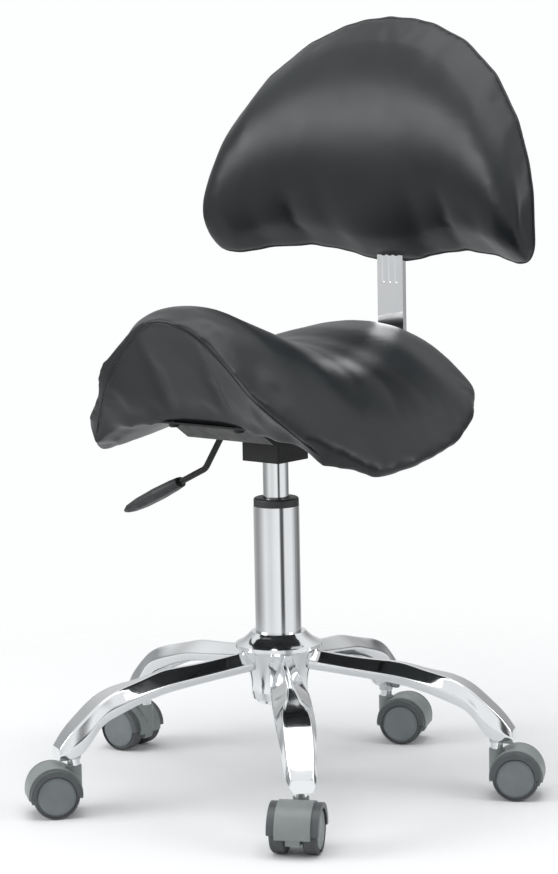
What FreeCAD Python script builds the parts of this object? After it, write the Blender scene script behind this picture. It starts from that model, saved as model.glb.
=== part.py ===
import FreeCAD, Part

import math
import os
import Sketcher

# Saddle stool on five castors, millimetres, +Z up.
# The origin lies on the column's axis at floor level. The sitter faces -Y.

doc = FreeCAD.newDocument("saddle_stool")
sheet = doc.addObject("Spreadsheet::Sheet", "sizes")


# Driving dimensions. Every size that can be set by itself stands here once.
DRIVING = {
    # castors
    "wheel_radius": 25.0,
    "wheel_width": 16.0,
    "wheel_rounding": 2.0,
    "wheel_gap": 18.0,
    "wheel_rim": 2.5,
    "wheel_boss_rise": 3.0,
    "wheel_boss_radius": 7.0,
    "cap_recess": 8.0,
    "cap_stand": 4.0,
    "cap_step": 2.4,
    "axle_radius": 3.0,
    "castor_trail": 22.0,
    "hood_radius": 29.0,
    "hood_wall": 3.0,
    "hood_width": 37.0,
    "hood_lip_height": 20.0,
    "fender_gap": 0.8,
    "fender_wall": 1.6,
    "fender_side_gap": 0.4,
    "fender_lip": 1.3,
    "fender_lip_reach": 3.5,
    "fender_height": 24.0,
    "castor_web_width": 15.0,
    "castor_foot_height": 13.0,
    "neck_radius": 8.4,
    "neck_top": 52.0,
    "stem_pin_radius": 4.0,
    "stem_pin_length": 20.0,
    "collar_radius": 6.6,
    "collar_length": 7.4,
    "stem_radius": 5.5,
    "stem_length": 22.0,
    "socket_wall": 2.2,
    # five-armed base
    "castor_circle": 239.0,
    "base_turn": -45.3,
    "arm_spacing": 72.0,
    "arm_root": 34.0,
    "arm_tip_reach": 19.0,
    "hub_lift": 41.0,
    "hub_height": 74.0,
    "hub_foot_radius": 29.0,
    "hub_flange_radius": 47.0,
    "hub_flange_fall": 13.0,
    "hub_collar_radius": 29.5,
    # column
    "column_radius": 25.0,
    "column_wall": 2.2,
    "column_length": 216.0,
    "column_floor": 4.0,
    "bush_lip": 9.0,
    "bush_lip_radius": 24.6,
    "bush_length": 66.0,
    "cylinder_radius": 14.0,
    "cylinder_wall": 2.6,
    "cylinder_seal": 12.0,
    "cylinder_head": 18.0,
    "cylinder_lift": 44.0,
    "cylinder_shown": 41.0,
    "taper_narrowing": 0.6,
    "rod_radius": 5.0,
    "rod_rise": 192.0,
    "rod_shoulder_radius": 8.0,
    "rod_shoulder": 3.0,
    "bearing_height": 6.0,
    "bearing_radius": 15.0,
    "piston_height": 12.0,
    "clip_radius": 9.0,
    "clip_thickness": 1.2,
    "button_radius": 4.0,
    "button_stand": 6.0,
    # mechanism
    "socket_size": 52.0,
    "socket_height": 29.0,
    "socket_corner": 3.0,
    "pan_depth": 22.0,
    "pan_width": 120.0,
    "pan_length": 148.0,
    "pan_slope_run": 32.0,
    "pan_sheet": 2.0,
    "pan_flange_side": 7.0,
    "pan_flange_end": 12.0,
    "lever_pivot": 30.0,
    "lever_pin_radius": 3.0,
    "lever_boss_radius": 6.0,
    "lever_boss_width": 7.0,
    "lever_rod_radius": 3.5,
    "lever_dive": 57.0,
    "lever_dive_length": 68.0,
    "lever_slope": 25.8,
    "lever_bare_length": 42.0,
    "grip_length": 90.0,
    "grip_width": 25.0,
    "grip_thickness": 14.0,
    "bolt_spacing_x": 90.0,
    "bolt_spacing_y": 224.0,
    "bolt_radius": 3.0,
    "bolt_head_radius": 5.5,
    "bolt_head_height": 4.0,
    # seat
    "seat_half_width": 206.0,
    "seat_half_length": 189.0,
    "seat_centre": 3.0,
    "seat_lip": 12.0,
    "seat_lip_drop": 9.0,
    "shell_thickness": 9.0,
    "shell_flat": 74.0,
    "shell_front_margin": 68.0,
    "shell_rear_margin": 22.0,
    "shell_inset": 14.0,
    "soft_gap": 0.3,
    # back support
    "bar_width": 36.0,
    "bar_thickness": 6.0,
    "bar_reach": 210.0,
    "bar_bend": 40.0,
    "bar_rise": 320.0,
    "bar_inner_end": 14.0,
    "bar_rib_width": 5.0,
    "bar_rib_depth": 1.2,
    "bar_rib_start": 142.0,
    "bar_rib_spacing": 9.0,
    "bar_rib_length": 150.0,
    "knob_radius": 21.0,
    "knob_height": 16.0,
    "knob_place": 66.0,
    "screw_radius": 4.0,
    "back_lift": 149.0,
    "back_corner_rise": 45.7,
    "back_crown": 227.0,
    "back_half_width": 227.4,
    "back_edge": 214.6,
    "back_front": 155.6,
    "back_wrap": 51.2,
    "back_bulge": 7.0,
    "back_rim": 30.0,
    "back_shell_depth": 14.6,
    "back_shell_thickness": 8.0,
    "back_cover_thickness": 4.0,
    "sleeve_wall": 2.5,
    "sleeve_height": 90.0,
    "sleeve_lift": 14.0,
    "sleeve_flange": 14.0,
    "back_screw_radius": 2.0,
    "back_screw_grip": 6.0,
    "back_screw_head_radius": 4.0,
    "back_screw_head": 2.4,
    # clearances
    "running_gap": 0.05,
    "seat_gap": 0.02,
    "free_gap": 0.3,
}

for row, (alias, number) in enumerate(DRIVING.items(), start=1):
    sheet.set(f"A{row}", alias)
    sheet.set(f"B{row}", f"{number:g}")
    sheet.setAlias(f"B{row}", alias)
doc.recompute()


class Size:
    """A number together with the expression that ties it to the sheet."""

    def __init__(self, value, text):
        self.value = float(value)
        self.text = text

    def __add__(self, other):
        other = as_size(other)
        return Size(self.value + other.value, f"({self.text} + {other.text})")

    def __sub__(self, other):
        other = as_size(other)
        return Size(self.value - other.value, f"({self.text} - {other.text})")

    def __mul__(self, factor):
        factor = as_size(factor)
        return Size(self.value * factor.value, f"({self.text} * {factor.text})")

    def __truediv__(self, factor):
        factor = as_size(factor)
        return Size(self.value / factor.value, f"({self.text} / {factor.text})")

    def __neg__(self):
        return Size(-self.value, f"(0 - {self.text})")

    __radd__ = __add__
    __rmul__ = __mul__


def as_size(number):
    if isinstance(number, Size):
        return number
    return Size(number, f"({number:g})")


def size(alias):
    """The sheet's own value under this alias."""
    return Size(sheet.get(alias), f"sizes.{alias}")


pieces = {}


def keep(node, thing):
    """Names a finished sub-part and lists it for export."""
    thing.Label = node
    pieces[node] = thing
    return thing


def bind(thing, **values):
    """Sets number properties through expressions on the sheet."""
    for key, value in values.items():
        value = as_size(value)
        setattr(thing, key, value.value)
        thing.setExpression(key, value.text)
    return thing


def put(thing, x=0.0, y=0.0, z=0.0, turn=None, axis="Z"):
    """Places a thing at a point of the sheet's values, turned about one axis in degrees."""
    vectors = {"X": (1, 0, 0), "Y": (0, 1, 0), "Z": (0, 0, 1)}
    x, y, z = as_size(x), as_size(y), as_size(z)
    angle = as_size(turn if turn is not None else 0.0)
    rotation = FreeCAD.Rotation(FreeCAD.Vector(*vectors[axis]), angle.value)
    thing.Placement = FreeCAD.Placement(FreeCAD.Vector(x.value, y.value, z.value), rotation)
    for path, value in (("x", x), ("y", y), ("z", z)):
        thing.setExpression(f"Placement.Base.{path}", value.text)
    if turn is not None:
        thing.setExpression("Placement.Rotation.Angle", angle.text)
    return thing


def new_body(name):
    body = doc.addObject("PartDesign::Body", name)
    body.AllowCompound = True
    return body


def sketch_in(body, name, role="XY_Plane", offset=None):
    """A sketch on one of the body's own origin planes, lifted by an offset."""
    sketch = body.newObject("Sketcher::SketchObject", name)
    plane = next(item for item in body.Origin.OriginFeatures if item.Role == role)
    sketch.AttachmentSupport = [(plane, "")]
    sketch.MapMode = "FlatFace"
    if offset is not None:
        offset = as_size(offset)
        sketch.AttachmentOffset = FreeCAD.Placement(
            FreeCAD.Vector(0, 0, offset.value), FreeCAD.Rotation())
        sketch.setExpression("AttachmentOffset.Base.z", offset.text)
    return sketch


def fix_number(sketch, kind, *place):
    """Adds one sketch dimension and ties it to its expression."""
    value = place[-1]
    index = sketch.addConstraint(Sketcher.Constraint(kind, *place[:-1], value.value))
    sketch.setExpression(f"Constraints[{index}]", value.text)


def fix_point(sketch, edge, end, x, y):
    """Ties one end of an edge to a point given from the sketch's origin."""
    x, y = as_size(x), as_size(y)
    if abs(x.value) < 1e-9:
        sketch.addConstraint(Sketcher.Constraint("PointOnObject", edge, end, -2))
    else:
        fix_number(sketch, "DistanceX", -1, 1, edge, end, x)
    if abs(y.value) < 1e-9:
        sketch.addConstraint(Sketcher.Constraint("PointOnObject", edge, end, -1))
    else:
        fix_number(sketch, "DistanceY", -1, 1, edge, end, y)


def outline(sketch, points):
    """A closed outline. A point (x, y) ends a line, and (x, y, radius) ends an arc.

    The arc bulges to the right of the way, or to the left where its radius is negative."""
    first_edge = sketch.GeometryCount
    count = len(points)
    for index, point in enumerate(points):
        goal = points[(index + 1) % count]
        start = FreeCAD.Vector(as_size(point[0]).value, as_size(point[1]).value, 0)
        end = FreeCAD.Vector(as_size(goal[0]).value, as_size(goal[1]).value, 0)
        if len(goal) == 2:
            sketch.addGeometry(Part.LineSegment(start, end), False)
            continue
        radius = as_size(goal[2]).value
        chord = end - start
        side = FreeCAD.Vector(chord.y, -chord.x, 0).normalize()
        reach = math.sqrt(max(radius ** 2 - chord.Length ** 2 / 4, 0.0))
        if radius > 0:
            middle = (start + end) * 0.5 + side * (radius - reach)
            sketch.addGeometry(Part.Arc(start, middle, end), False)
        else:
            middle = (start + end) * 0.5 + side * (radius + reach)
            sketch.addGeometry(Part.Arc(end, middle, start), False)
    turned = [len(point) == 3 and as_size(point[2]).value < 0 for point in points]
    for index in range(count):
        edge = first_edge + index
        following = first_edge + (index + 1) % count
        goal = points[(index + 1) % count]
        end = 1 if turned[(index + 1) % count] else 2
        begin = 2 if turned[(index + 2) % count] else 1
        sketch.addConstraint(Sketcher.Constraint("Coincident", edge, end, following, begin))
        fix_point(sketch, edge, end, goal[0], goal[1])
        if len(goal) == 3:
            radius = as_size(goal[2])
            if radius.value < 0:
                radius = -radius
            fix_number(sketch, "Radius", edge, radius)
    return sketch


def circle(sketch, x, y, radius):
    """A circle tied to the sheet by its centre and radius."""
    centre = FreeCAD.Vector(as_size(x).value, as_size(y).value, 0)
    normal = FreeCAD.Vector(0, 0, 1)
    edge = sketch.addGeometry(Part.Circle(centre, normal, as_size(radius).value), False)
    fix_point(sketch, edge, 3, x, y)
    fix_number(sketch, "Radius", edge, as_size(radius))
    return sketch


def rectangle(sketch, half_x, half_y, x=0.0, y=0.0):
    """A rectangle about a centre, by its half sides."""
    x, y, half_x, half_y = (as_size(item) for item in (x, y, half_x, half_y))
    corners = [(x - half_x, y - half_y), (x + half_x, y - half_y),
               (x + half_x, y + half_y), (x - half_x, y + half_y)]
    return outline(sketch, corners)


def pad(body, sketch, length, symmetric=False, backwards=False, name="Pad"):
    feature = body.newObject("PartDesign::Pad", name)
    feature.Profile = sketch
    bind(feature, Length=length)
    feature.SideType = "Symmetric" if symmetric else "One side"
    feature.Reversed = backwards
    return feature


def pocket(body, sketch, length=None, symmetric=False, backwards=False, name="Pocket"):
    """Cuts a sketch out of the body, right through where no depth is given."""
    feature = body.newObject("PartDesign::Pocket", name)
    feature.Profile = sketch
    feature.SideType = "Symmetric" if symmetric else "One side"
    feature.Reversed = backwards
    if length is None:
        feature.Type = "ThroughAll"
    else:
        bind(feature, Length=length)
    return feature


def turned(body, sketch, cut=False, axis="V_Axis"):
    """Turns a profile once about an axis of its sketch, adding or cutting material."""
    kind = "PartDesign::Groove" if cut else "PartDesign::Revolution"
    feature = body.newObject(kind, "Turning")
    feature.Profile = sketch
    feature.ReferenceAxis = (sketch, [axis])
    feature.Angle = 360.0
    return feature


def turned_body(name, points, role="XZ_Plane"):
    """A body turned about its own Z axis (Y axis on the XY plane) from a half section."""
    body = new_body(name)
    sketch = outline(sketch_in(body, name + "_section", role), points)
    turned(body, sketch)
    return body


def round_edges(body, radius, wanted):
    """Fillets the tip's edges for which wanted(edge) holds."""
    doc.recompute()
    base = body.Tip
    names = [f"Edge{number}" for number, edge in enumerate(base.Shape.Edges, start=1) if wanted(edge)]
    fillet = body.newObject("PartDesign::Fillet", "Fillet")
    fillet.Base = (base, names)
    bind(fillet, Radius=radius)
    return fillet


def cut_away(name, base, *tools):
    """The base less its tools."""
    result = base
    for index, tool in enumerate(tools):
        step = doc.addObject("Part::Cut", f"{name}_cut{index}")
        step.Base = result
        step.Tool = tool
        result = step
    return result


def cylinder(name, radius, height, x=0.0, y=0.0, z=0.0, turn=None, axis="Z"):
    thing = bind(doc.addObject("Part::Cylinder", name), Radius=radius, Height=height)
    return put(thing, x, y, z, turn, axis)


def group(name, things):
    """Separate solids of one kind in one node."""
    compound = doc.addObject("Part::Compound", name)
    compound.Links = things
    return compound


def root(number):
    """Square root of a size."""
    number = as_size(number)
    return Size(math.sqrt(number.value), f"sqrt({number.text})")


def sine(degrees):
    degrees = as_size(degrees)
    return Size(math.sin(math.radians(degrees.value)), f"sin({degrees.text} * 1 deg)")


def cosine(degrees):
    degrees = as_size(degrees)
    return Size(math.cos(math.radians(degrees.value)), f"cos({degrees.text} * 1 deg)")


free = size("free_gap")
close = size("seat_gap")
running = size("running_gap")


# Levels, from the floor up. Each piece stands on the one below it.
tip_level = size("neck_top") + free + size("collar_length")
hub_level = tip_level + size("hub_lift")
column_level = hub_level - size("column_floor")
column_top = column_level + size("column_length")
bush_top = column_top + size("bush_lip")
socket_level = bush_top + size("cylinder_shown")
pan_level = socket_level + size("socket_height")
pan_top = pan_level + size("pan_depth")


# Castor: a hooded body turns on the stem, with a wheel on each side of its web.
# Each one is drawn with its stem along Z and trails along its own +X.
TRAILING = (-62.0, 30.0, 25.0, -174.0, -128.0)

wheel_radius = size("wheel_radius")
trail = size("castor_trail")
neck_top = size("neck_top")
hood_radius = size("hood_radius")
hood_inner = hood_radius - size("hood_wall")
wheel_inner = size("wheel_gap") / 2
wheel_outer = wheel_inner + size("wheel_width")
cap_radius = wheel_radius - size("wheel_rim")
cap_seat = wheel_outer - size("cap_recess")


def arched_strip(body, name, outer, inner, low, y=0.0):
    """Side view of a strip bent over the wheels, from one level in front to the same behind."""
    lip = wheel_radius - low
    far = root(outer * outer - lip * lip)
    near = root(inner * inner - lip * lip)
    return outline(sketch_in(body, name, "XZ_Plane", y), [
        (trail + far, low),
        (trail, wheel_radius + outer, outer),
        (trail - far, low, outer),
        (trail - near, low),
        (trail, wheel_radius + inner, -inner),
        (trail + near, low, -inner),
    ])


def castor_body(name):
    """The hood with a fender over each wheel, the web between the wheels and the stem's neck."""
    body = new_body(name)
    hood = arched_strip(body, "hood_side", hood_radius, hood_inner, size("hood_lip_height"))
    pad(body, hood, size("hood_width"), symmetric=True, name="Hood")
    fender_low = size("fender_height")
    fender_inner = wheel_radius + size("fender_gap")
    fender_outer = fender_inner + size("fender_wall")
    lip_near = wheel_outer + size("fender_side_gap")
    lip_far = lip_near + size("fender_lip")
    fender = arched_strip(body, "fender_side", fender_outer, fender_inner, fender_low)
    pad(body, fender, lip_far * 2, symmetric=True, name="Fender")
    for side in (-1, 1):
        start = -lip_far if side > 0 else lip_near
        edge = arched_strip(body, "fender_edge", fender_outer - size("fender_wall") / 2,
                            wheel_radius - size("fender_lip_reach"), fender_low, start)
        pad(body, edge, size("fender_lip"), name="FenderEdge")
    foot = wheel_radius - size("castor_foot_height")
    reach = hood_inner + 1
    base = root(reach * reach - foot * foot)
    web = outline(sketch_in(body, "web_side", "XZ_Plane"), [
        (trail + base, size("castor_foot_height")),
        (trail, wheel_radius + reach, reach),
        (trail - base, size("castor_foot_height"), reach),
    ])
    pad(body, web, size("castor_web_width"), symmetric=True, name="Web")
    neck_length = neck_top - wheel_radius
    neck = circle(sketch_in(body, "neck_ring", "XY_Plane", neck_top), 0, 0, size("neck_radius"))
    pad(body, neck, neck_length, backwards=True, name="Neck")
    hole = circle(sketch_in(body, "stem_hole", "XY_Plane", neck_top), 0, 0,
                  size("stem_pin_radius") + running)
    pocket(body, hole, size("stem_pin_length") + 1, name="StemHole")
    bore = circle(sketch_in(body, "axle_hole", "XZ_Plane"), trail, wheel_radius,
                  size("axle_radius") + close)
    pocket(body, bore, size("hood_width"), symmetric=True, name="AxleHole")
    return body


def wheel(name):
    """A wheel with a broken tread edge, a recess for its cap and a boss for the axle."""
    bore = size("axle_radius") + running
    corner = size("wheel_rounding")
    boss = size("wheel_boss_radius")
    boss_top = cap_seat + size("wheel_boss_rise")
    return turned_body(name, [
        (bore, wheel_inner),
        (wheel_radius - corner, wheel_inner),
        (wheel_radius, wheel_inner + corner),
        (wheel_radius, wheel_outer - corner),
        (wheel_radius - corner, wheel_outer),
        (cap_radius, wheel_outer),
        (cap_radius, cap_seat),
        (boss, cap_seat),
        (boss, boss_top),
        (bore, boss_top),
    ], "XY_Plane")


def hub_cap(name):
    """A stepped disc pressed into the wheel's recess, over its boss."""
    disc_back = cap_seat + size("cap_stand")
    rim = cap_radius - close
    step = size("cap_step")
    return turned_body(name, [
        (0, disc_back),
        (rim, disc_back),
        (rim, wheel_outer - step),
        (rim - step, wheel_outer - step),
        (rim - step, wheel_outer - step / 4),
        (rim - step * 2, wheel_outer),
        (0, wheel_outer),
    ], "XY_Plane")


castors = []
for index, heading in enumerate(TRAILING):
    number = index + 1
    bearing = size("base_turn") + size("arm_spacing") * index
    stem_x = size("castor_circle") * cosine(bearing)
    stem_y = size("castor_circle") * sine(bearing)
    axle_x = stem_x + trail * cosine(heading)
    axle_y = stem_y + trail * sine(heading)
    castors.append((stem_x, stem_y))
    keep(f"castor_{number}_body", put(castor_body(f"castor_body_{number}"), stem_x, stem_y, 0, heading))
    axle_reach = cap_seat + size("wheel_boss_rise")
    pin = turned_body(f"axle_{number}", [
        (0, -axle_reach),
        (size("axle_radius") - 0.6, -axle_reach),
        (size("axle_radius"), -axle_reach + 0.6),
        (size("axle_radius"), axle_reach - 0.6),
        (size("axle_radius") - 0.6, axle_reach),
        (0, axle_reach),
    ], "XY_Plane")
    keep(f"castor_{number}_axle", put(pin, axle_x, axle_y, wheel_radius, heading))
    for side, half_turn in (("left", 0.0), ("right", 180.0)):
        tyre = wheel(f"wheel_{number}_{side}")
        keep(f"castor_{number}_wheel_{side}", put(tyre, axle_x, axle_y, wheel_radius, heading + half_turn))
        cap = hub_cap(f"cap_{number}_{side}")
        keep(f"castor_{number}_cap_{side}", put(cap, axle_x, axle_y, wheel_radius, heading + half_turn))


# Stems and their sockets, pressed up into the tips of the five arms.
stem_top = tip_level + size("stem_length")
socket_bore = size("stem_radius") + close
socket_radius = socket_bore + size("socket_wall")
socket_top = stem_top + 2
stems = []
sockets = []
for index, (stem_x, stem_y) in enumerate(castors):
    stem = turned_body(f"stem_{index}", [
        (0, neck_top - size("stem_pin_length")),
        (size("stem_pin_radius"), neck_top - size("stem_pin_length")),
        (size("stem_pin_radius"), neck_top + free),
        (size("collar_radius"), neck_top + free),
        (size("collar_radius"), tip_level),
        (size("stem_radius"), tip_level),
        (size("stem_radius"), stem_top - 1),
        (size("stem_radius") - 1, stem_top),
        (0, stem_top),
    ])
    stems.append(put(stem, stem_x, stem_y, 0))
    socket = turned_body(f"socket_{index}", [
        (socket_bore, tip_level),
        (socket_radius, tip_level),
        (socket_radius, socket_top),
        (socket_bore, socket_top),
    ])
    sockets.append(put(socket, stem_x, stem_y, 0))
keep("castor_stems", group("stems", stems))
keep("castor_sockets", group("sockets", sockets))


# Hub: a cone with a sloping flange, bored for the column.
hub_top = hub_level + size("hub_height")
flange_level = hub_top - size("hub_flange_fall")
flange = size("hub_flange_radius")
hub_bore = size("column_radius") + close
hub = turned_body("hub", [
    (hub_bore, hub_level),
    (size("hub_foot_radius"), hub_level),
    (size("hub_foot_radius") + 2, hub_level + 9),
    (flange - 7, flange_level - 14, -70),
    (flange - 3, flange_level - 7),
    (flange, flange_level - 4),
    (flange, flange_level),
    (size("hub_collar_radius") + 2.5, hub_top - 2.5, -40),
    (size("hub_collar_radius"), hub_top),
    (hub_bore, hub_top),
])
keep("base_hub", hub)


# Arm: a ridge near the hub that opens into a flat face past the bend.
# Each station: share of the castor circle, top and underside above the arm's tip level,
# half width of the top face and half width at the waist.
ARM_STATIONS = (
    (0.385, 87.8, 68.3, 2.5, 18.0),
    (0.565, 84.3, 62.3, 3.0, 21.0),
    (0.690, 76.3, 54.3, 7.0, 21.5),
    (0.795, 70.5, 44.5, 13.0, 21.5),
    (0.885, 60.5, 34.5, 15.0, 20.0),
    (0.970, 42.5, 4.5, 15.0, 18.0),
    (1.045, 26.0, 0.0, 13.0, 17.0),
)
ARM_ROOT = (95.3, 75.3, 2.0, 15.0)
ARM_END = (13.5, 0.0, 11.0, 13.0)
ARM_HOLLOW = 7.0


def arm_section(body, name, reach, top, low, ridge, girth):
    """A six-sided section: top face, waist a little below the middle, narrower underside."""
    waist = low + (top - low) * 0.45
    foot = girth * 0.72
    return outline(sketch_in(body, name, "YZ_Plane", reach), [
        (as_size(-foot), tip_level + low),
        (as_size(foot), tip_level + low),
        (as_size(girth), tip_level + waist),
        (as_size(ridge), tip_level + top),
        (as_size(-ridge), tip_level + top),
        (as_size(-girth), tip_level + waist),
    ])


def arm(name):
    body = new_body(name)
    circle_reach = size("castor_circle")
    sections = [arm_section(body, "root", size("arm_root"), *ARM_ROOT)]
    for share, top, low, ridge, girth in ARM_STATIONS:
        sections.append(arm_section(body, "station", circle_reach * share, top, low, ridge, girth))
    end = circle_reach + size("arm_tip_reach")
    sections.append(arm_section(body, "end", end, *ARM_END))
    skin = body.newObject("PartDesign::AdditiveLoft", "Skin")
    skin.Profile = sections[0]
    skin.Sections = sections[1:]
    skin.Ruled = True
    hollow = []
    for share, top, low, ridge, girth in ARM_STATIONS[:5]:
        wall = girth * 0.72 - 4.0
        half = (top - low) / 2
        sketch = sketch_in(body, "hollow", "YZ_Plane", circle_reach * share)
        rectangle(sketch, wall, half, 0, tip_level + low - half + ARM_HOLLOW)
        hollow.append(sketch)
    channel = body.newObject("PartDesign::SubtractiveLoft", "Channel")
    channel.Profile = hollow[0]
    channel.Sections = hollow[1:]
    channel.Ruled = True
    hole = circle(sketch_in(body, "socket_hole", "XY_Plane", socket_top + close),
                  circle_reach, 0, socket_radius + close)
    pocket(body, hole, size("stem_length") + 12, name="SocketHole")
    return body


for index in range(len(TRAILING)):
    bearing = size("base_turn") + size("arm_spacing") * index
    blank = put(arm(f"arm_{index}"), 0, 0, 0, bearing)
    keep(f"base_arm_{index + 1}", cut_away(f"arm_{index}", blank, hub))


# Column: the outer tube, its plastic bush, the bearing on its floor and the gas spring.
tube_bore = size("column_radius") - size("column_wall")
rod = size("rod_radius")
floor_top = column_level + size("column_floor")
keep("column_tube", turned_body("tube", [
    (rod + 1, column_level),
    (size("column_radius") - 1, column_level),
    (size("column_radius"), column_level + 1),
    (size("column_radius"), column_top),
    (tube_bore, column_top),
    (tube_bore, floor_top),
    (rod + 1, floor_top),
]))
bush_bore = size("cylinder_radius") + running
bush_lip = size("bush_lip_radius")
keep("column_bush", turned_body("bush", [
    (bush_bore, column_top - size("bush_length")),
    (tube_bore - close, column_top - size("bush_length")),
    (tube_bore - close, column_top),
    (bush_lip, column_top),
    (bush_lip, bush_top - 2.5),
    (bush_lip - 2.5, bush_top, 2.5),
    (bush_bore + 1, bush_top),
    (bush_bore, bush_top - 1),
]))
bearing_top = floor_top + size("bearing_height")
washer = size("bearing_height") / 3
keep("thrust_bearing", turned_body("bearing", [
    (rod + 0.3, floor_top),
    (size("bearing_radius"), floor_top),
    (size("bearing_radius"), floor_top + washer),
    (size("bearing_radius") - 2, floor_top + washer),
    (size("bearing_radius") - 2, bearing_top - washer),
    (size("bearing_radius"), bearing_top - washer),
    (size("bearing_radius"), bearing_top),
    (rod + 0.3, bearing_top),
]))
cylinder_bore = size("cylinder_radius") - size("cylinder_wall")
rod_top = column_level + size("rod_rise")
clip_top = column_level - close
clip_low = clip_top - size("clip_thickness")
shoulder_low = bearing_top + close
keep("piston_rod", turned_body("rod", [
    (0, clip_low - 3),
    (rod - 1, clip_low - 3),
    (rod, clip_low - 2),
    (rod, clip_low - close),
    (rod - 1, clip_low - close),
    (rod - 1, clip_top + close),
    (rod, clip_top + close),
    (rod, shoulder_low),
    (size("rod_shoulder_radius"), shoulder_low),
    (size("rod_shoulder_radius"), shoulder_low + size("rod_shoulder")),
    (rod, shoulder_low + size("rod_shoulder")),
    (rod, rod_top - size("piston_height")),
    (cylinder_bore - running, rod_top - size("piston_height")),
    (cylinder_bore - running, rod_top),
    (0, rod_top),
]))
keep("column_clip", turned_body("clip", [
    (rod - 1 + close, clip_low),
    (size("clip_radius"), clip_low),
    (size("clip_radius"), clip_top),
    (rod - 1 + close, clip_top),
]))
cylinder_low = column_level + size("cylinder_lift")
taper_top = size("cylinder_radius") - size("taper_narrowing")
button_bore = size("button_radius") + running
keep("gas_cylinder", turned_body("cylinder", [
    (rod + running, cylinder_low),
    (size("cylinder_radius") - 1, cylinder_low),
    (size("cylinder_radius"), cylinder_low + 1),
    (size("cylinder_radius"), socket_level),
    (taper_top, pan_level),
    (button_bore, pan_level),
    (button_bore, pan_level - size("cylinder_head")),
    (cylinder_bore, pan_level - size("cylinder_head")),
    (cylinder_bore, cylinder_low + size("cylinder_seal")),
    (rod + running, cylinder_low + size("cylinder_seal")),
]))
button_top = pan_level + size("button_stand")
button_low = pan_level - size("cylinder_head") + 1
keep("release_button", turned_body("button", [
    (0, button_low),
    (size("button_radius"), button_low),
    (size("button_radius"), button_top - 1),
    (size("button_radius") - 1, button_top),
    (0, button_top),
]))


# Taper socket: a square block under the pan that grips the gas spring's cone.
socket_half = size("socket_size") / 2
taper_block = new_body("taper_block")
square = rectangle(sketch_in(taper_block, "square", "XY_Plane", socket_level), socket_half, socket_half)
pad(taper_block, square, size("socket_height"))
round_edges(taper_block, size("socket_corner"),
            lambda edge: abs(edge.tangentAt(edge.FirstParameter).z) > 0.99)
cone = outline(sketch_in(taper_block, "cone", "XZ_Plane"), [
    (0, socket_level),
    (size("cylinder_radius") + close, socket_level),
    (taper_top + close, pan_level),
    (0, pan_level),
])
turned(taper_block, cone, cut=True)
keep("taper_socket", taper_block)


# Mechanism pan: pressed steel with sloping ends, a bolting flange and a channel for the back bar.
sheet_wall = size("pan_sheet")
pan_half_x = size("pan_width") / 2
pan_half_y = size("pan_length") / 2
pan_mouth_y = pan_half_y + size("pan_slope_run")
flange_low = pan_top - sheet_wall
bar_half = size("bar_width") / 2
bar_low = pan_level + sheet_wall + free
bar_high = bar_low + size("bar_thickness")
knob_y = size("knob_place")
lever_x = -size("lever_pivot")
lever_level = button_top + free + size("lever_rod_radius")

pan = new_body("pan")
dish = pan.newObject("PartDesign::AdditiveLoft", "Dish")
dish.Profile = rectangle(sketch_in(pan, "floor", "XY_Plane", pan_level), pan_half_x, pan_half_y)
dish.Sections = [rectangle(sketch_in(pan, "mouth", "XY_Plane", pan_top), pan_half_x, pan_mouth_y)]
dish.Ruled = True
flange_ring = rectangle(sketch_in(pan, "flange", "XY_Plane", flange_low),
                        pan_half_x + size("pan_flange_side"), pan_mouth_y + size("pan_flange_end"))
pad(pan, flange_ring, sheet_wall, name="Flange")
hollow = pan.newObject("PartDesign::SubtractiveLoft", "Hollow")
hollow.Profile = rectangle(sketch_in(pan, "inner_floor", "XY_Plane", pan_level + sheet_wall),
                           pan_half_x - sheet_wall, pan_half_y - sheet_wall / 2)
hollow.Sections = [rectangle(sketch_in(pan, "inner_mouth", "XY_Plane", pan_top + 0.1),
                             pan_half_x - sheet_wall, pan_mouth_y - sheet_wall)]
hollow.Ruled = True
rail_wall = sheet_wall
channel_high = bar_high + free + rail_wall
rails = outline(sketch_in(pan, "rails", "XZ_Plane", -(knob_y + 14)), [
    (-(bar_half + free + rail_wall), pan_level + sheet_wall / 2),
    (-(bar_half + free), pan_level + sheet_wall / 2),
    (-(bar_half + free), bar_high + free),
    (bar_half + free, bar_high + free),
    (bar_half + free, pan_level + sheet_wall / 2),
    (bar_half + free + rail_wall, pan_level + sheet_wall / 2),
    (bar_half + free + rail_wall, channel_high),
    (-(bar_half + free + rail_wall), channel_high),
])
pad(pan, rails, 30, name="Rails")
lug_half = size("lever_boss_width") / 2 + free
lug_foot = size("lever_boss_radius") + 1
for side in (-1, 1):
    near = lug_half if side > 0 else -(lug_half + sheet_wall)
    lug = outline(sketch_in(pan, "lug", "XZ_Plane", -near), [
        (lever_x - lug_foot, pan_level + sheet_wall / 2),
        (lever_x + lug_foot, pan_level + sheet_wall / 2),
        (lever_x + 5, lever_level + 4),
        (lever_x - 5, lever_level + 4, 6),
    ])
    pad(pan, lug, sheet_wall, backwards=True, name="Lug")
pin_hole = circle(sketch_in(pan, "pin_hole", "XZ_Plane"), lever_x, lever_level,
                  size("lever_pin_radius") + close)
pocket(pan, pin_hole, lug_half * 2 + sheet_wall * 2 + 1, symmetric=True, name="PinHole")
knob_boss = circle(sketch_in(pan, "knob_boss", "XY_Plane", pan_level), 0, knob_y, 9)
pad(pan, knob_boss, 5, backwards=True, name="KnobBoss")
thread_hole = circle(sketch_in(pan, "thread_hole", "XY_Plane", pan_level + sheet_wall), 0, knob_y,
                     size("screw_radius") + running)
pocket(pan, thread_hole, sheet_wall + 6, name="ThreadHole")
button_hole = circle(sketch_in(pan, "button_hole", "XY_Plane", pan_level + sheet_wall), 0, 0,
                     size("button_radius") + 4)
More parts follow.
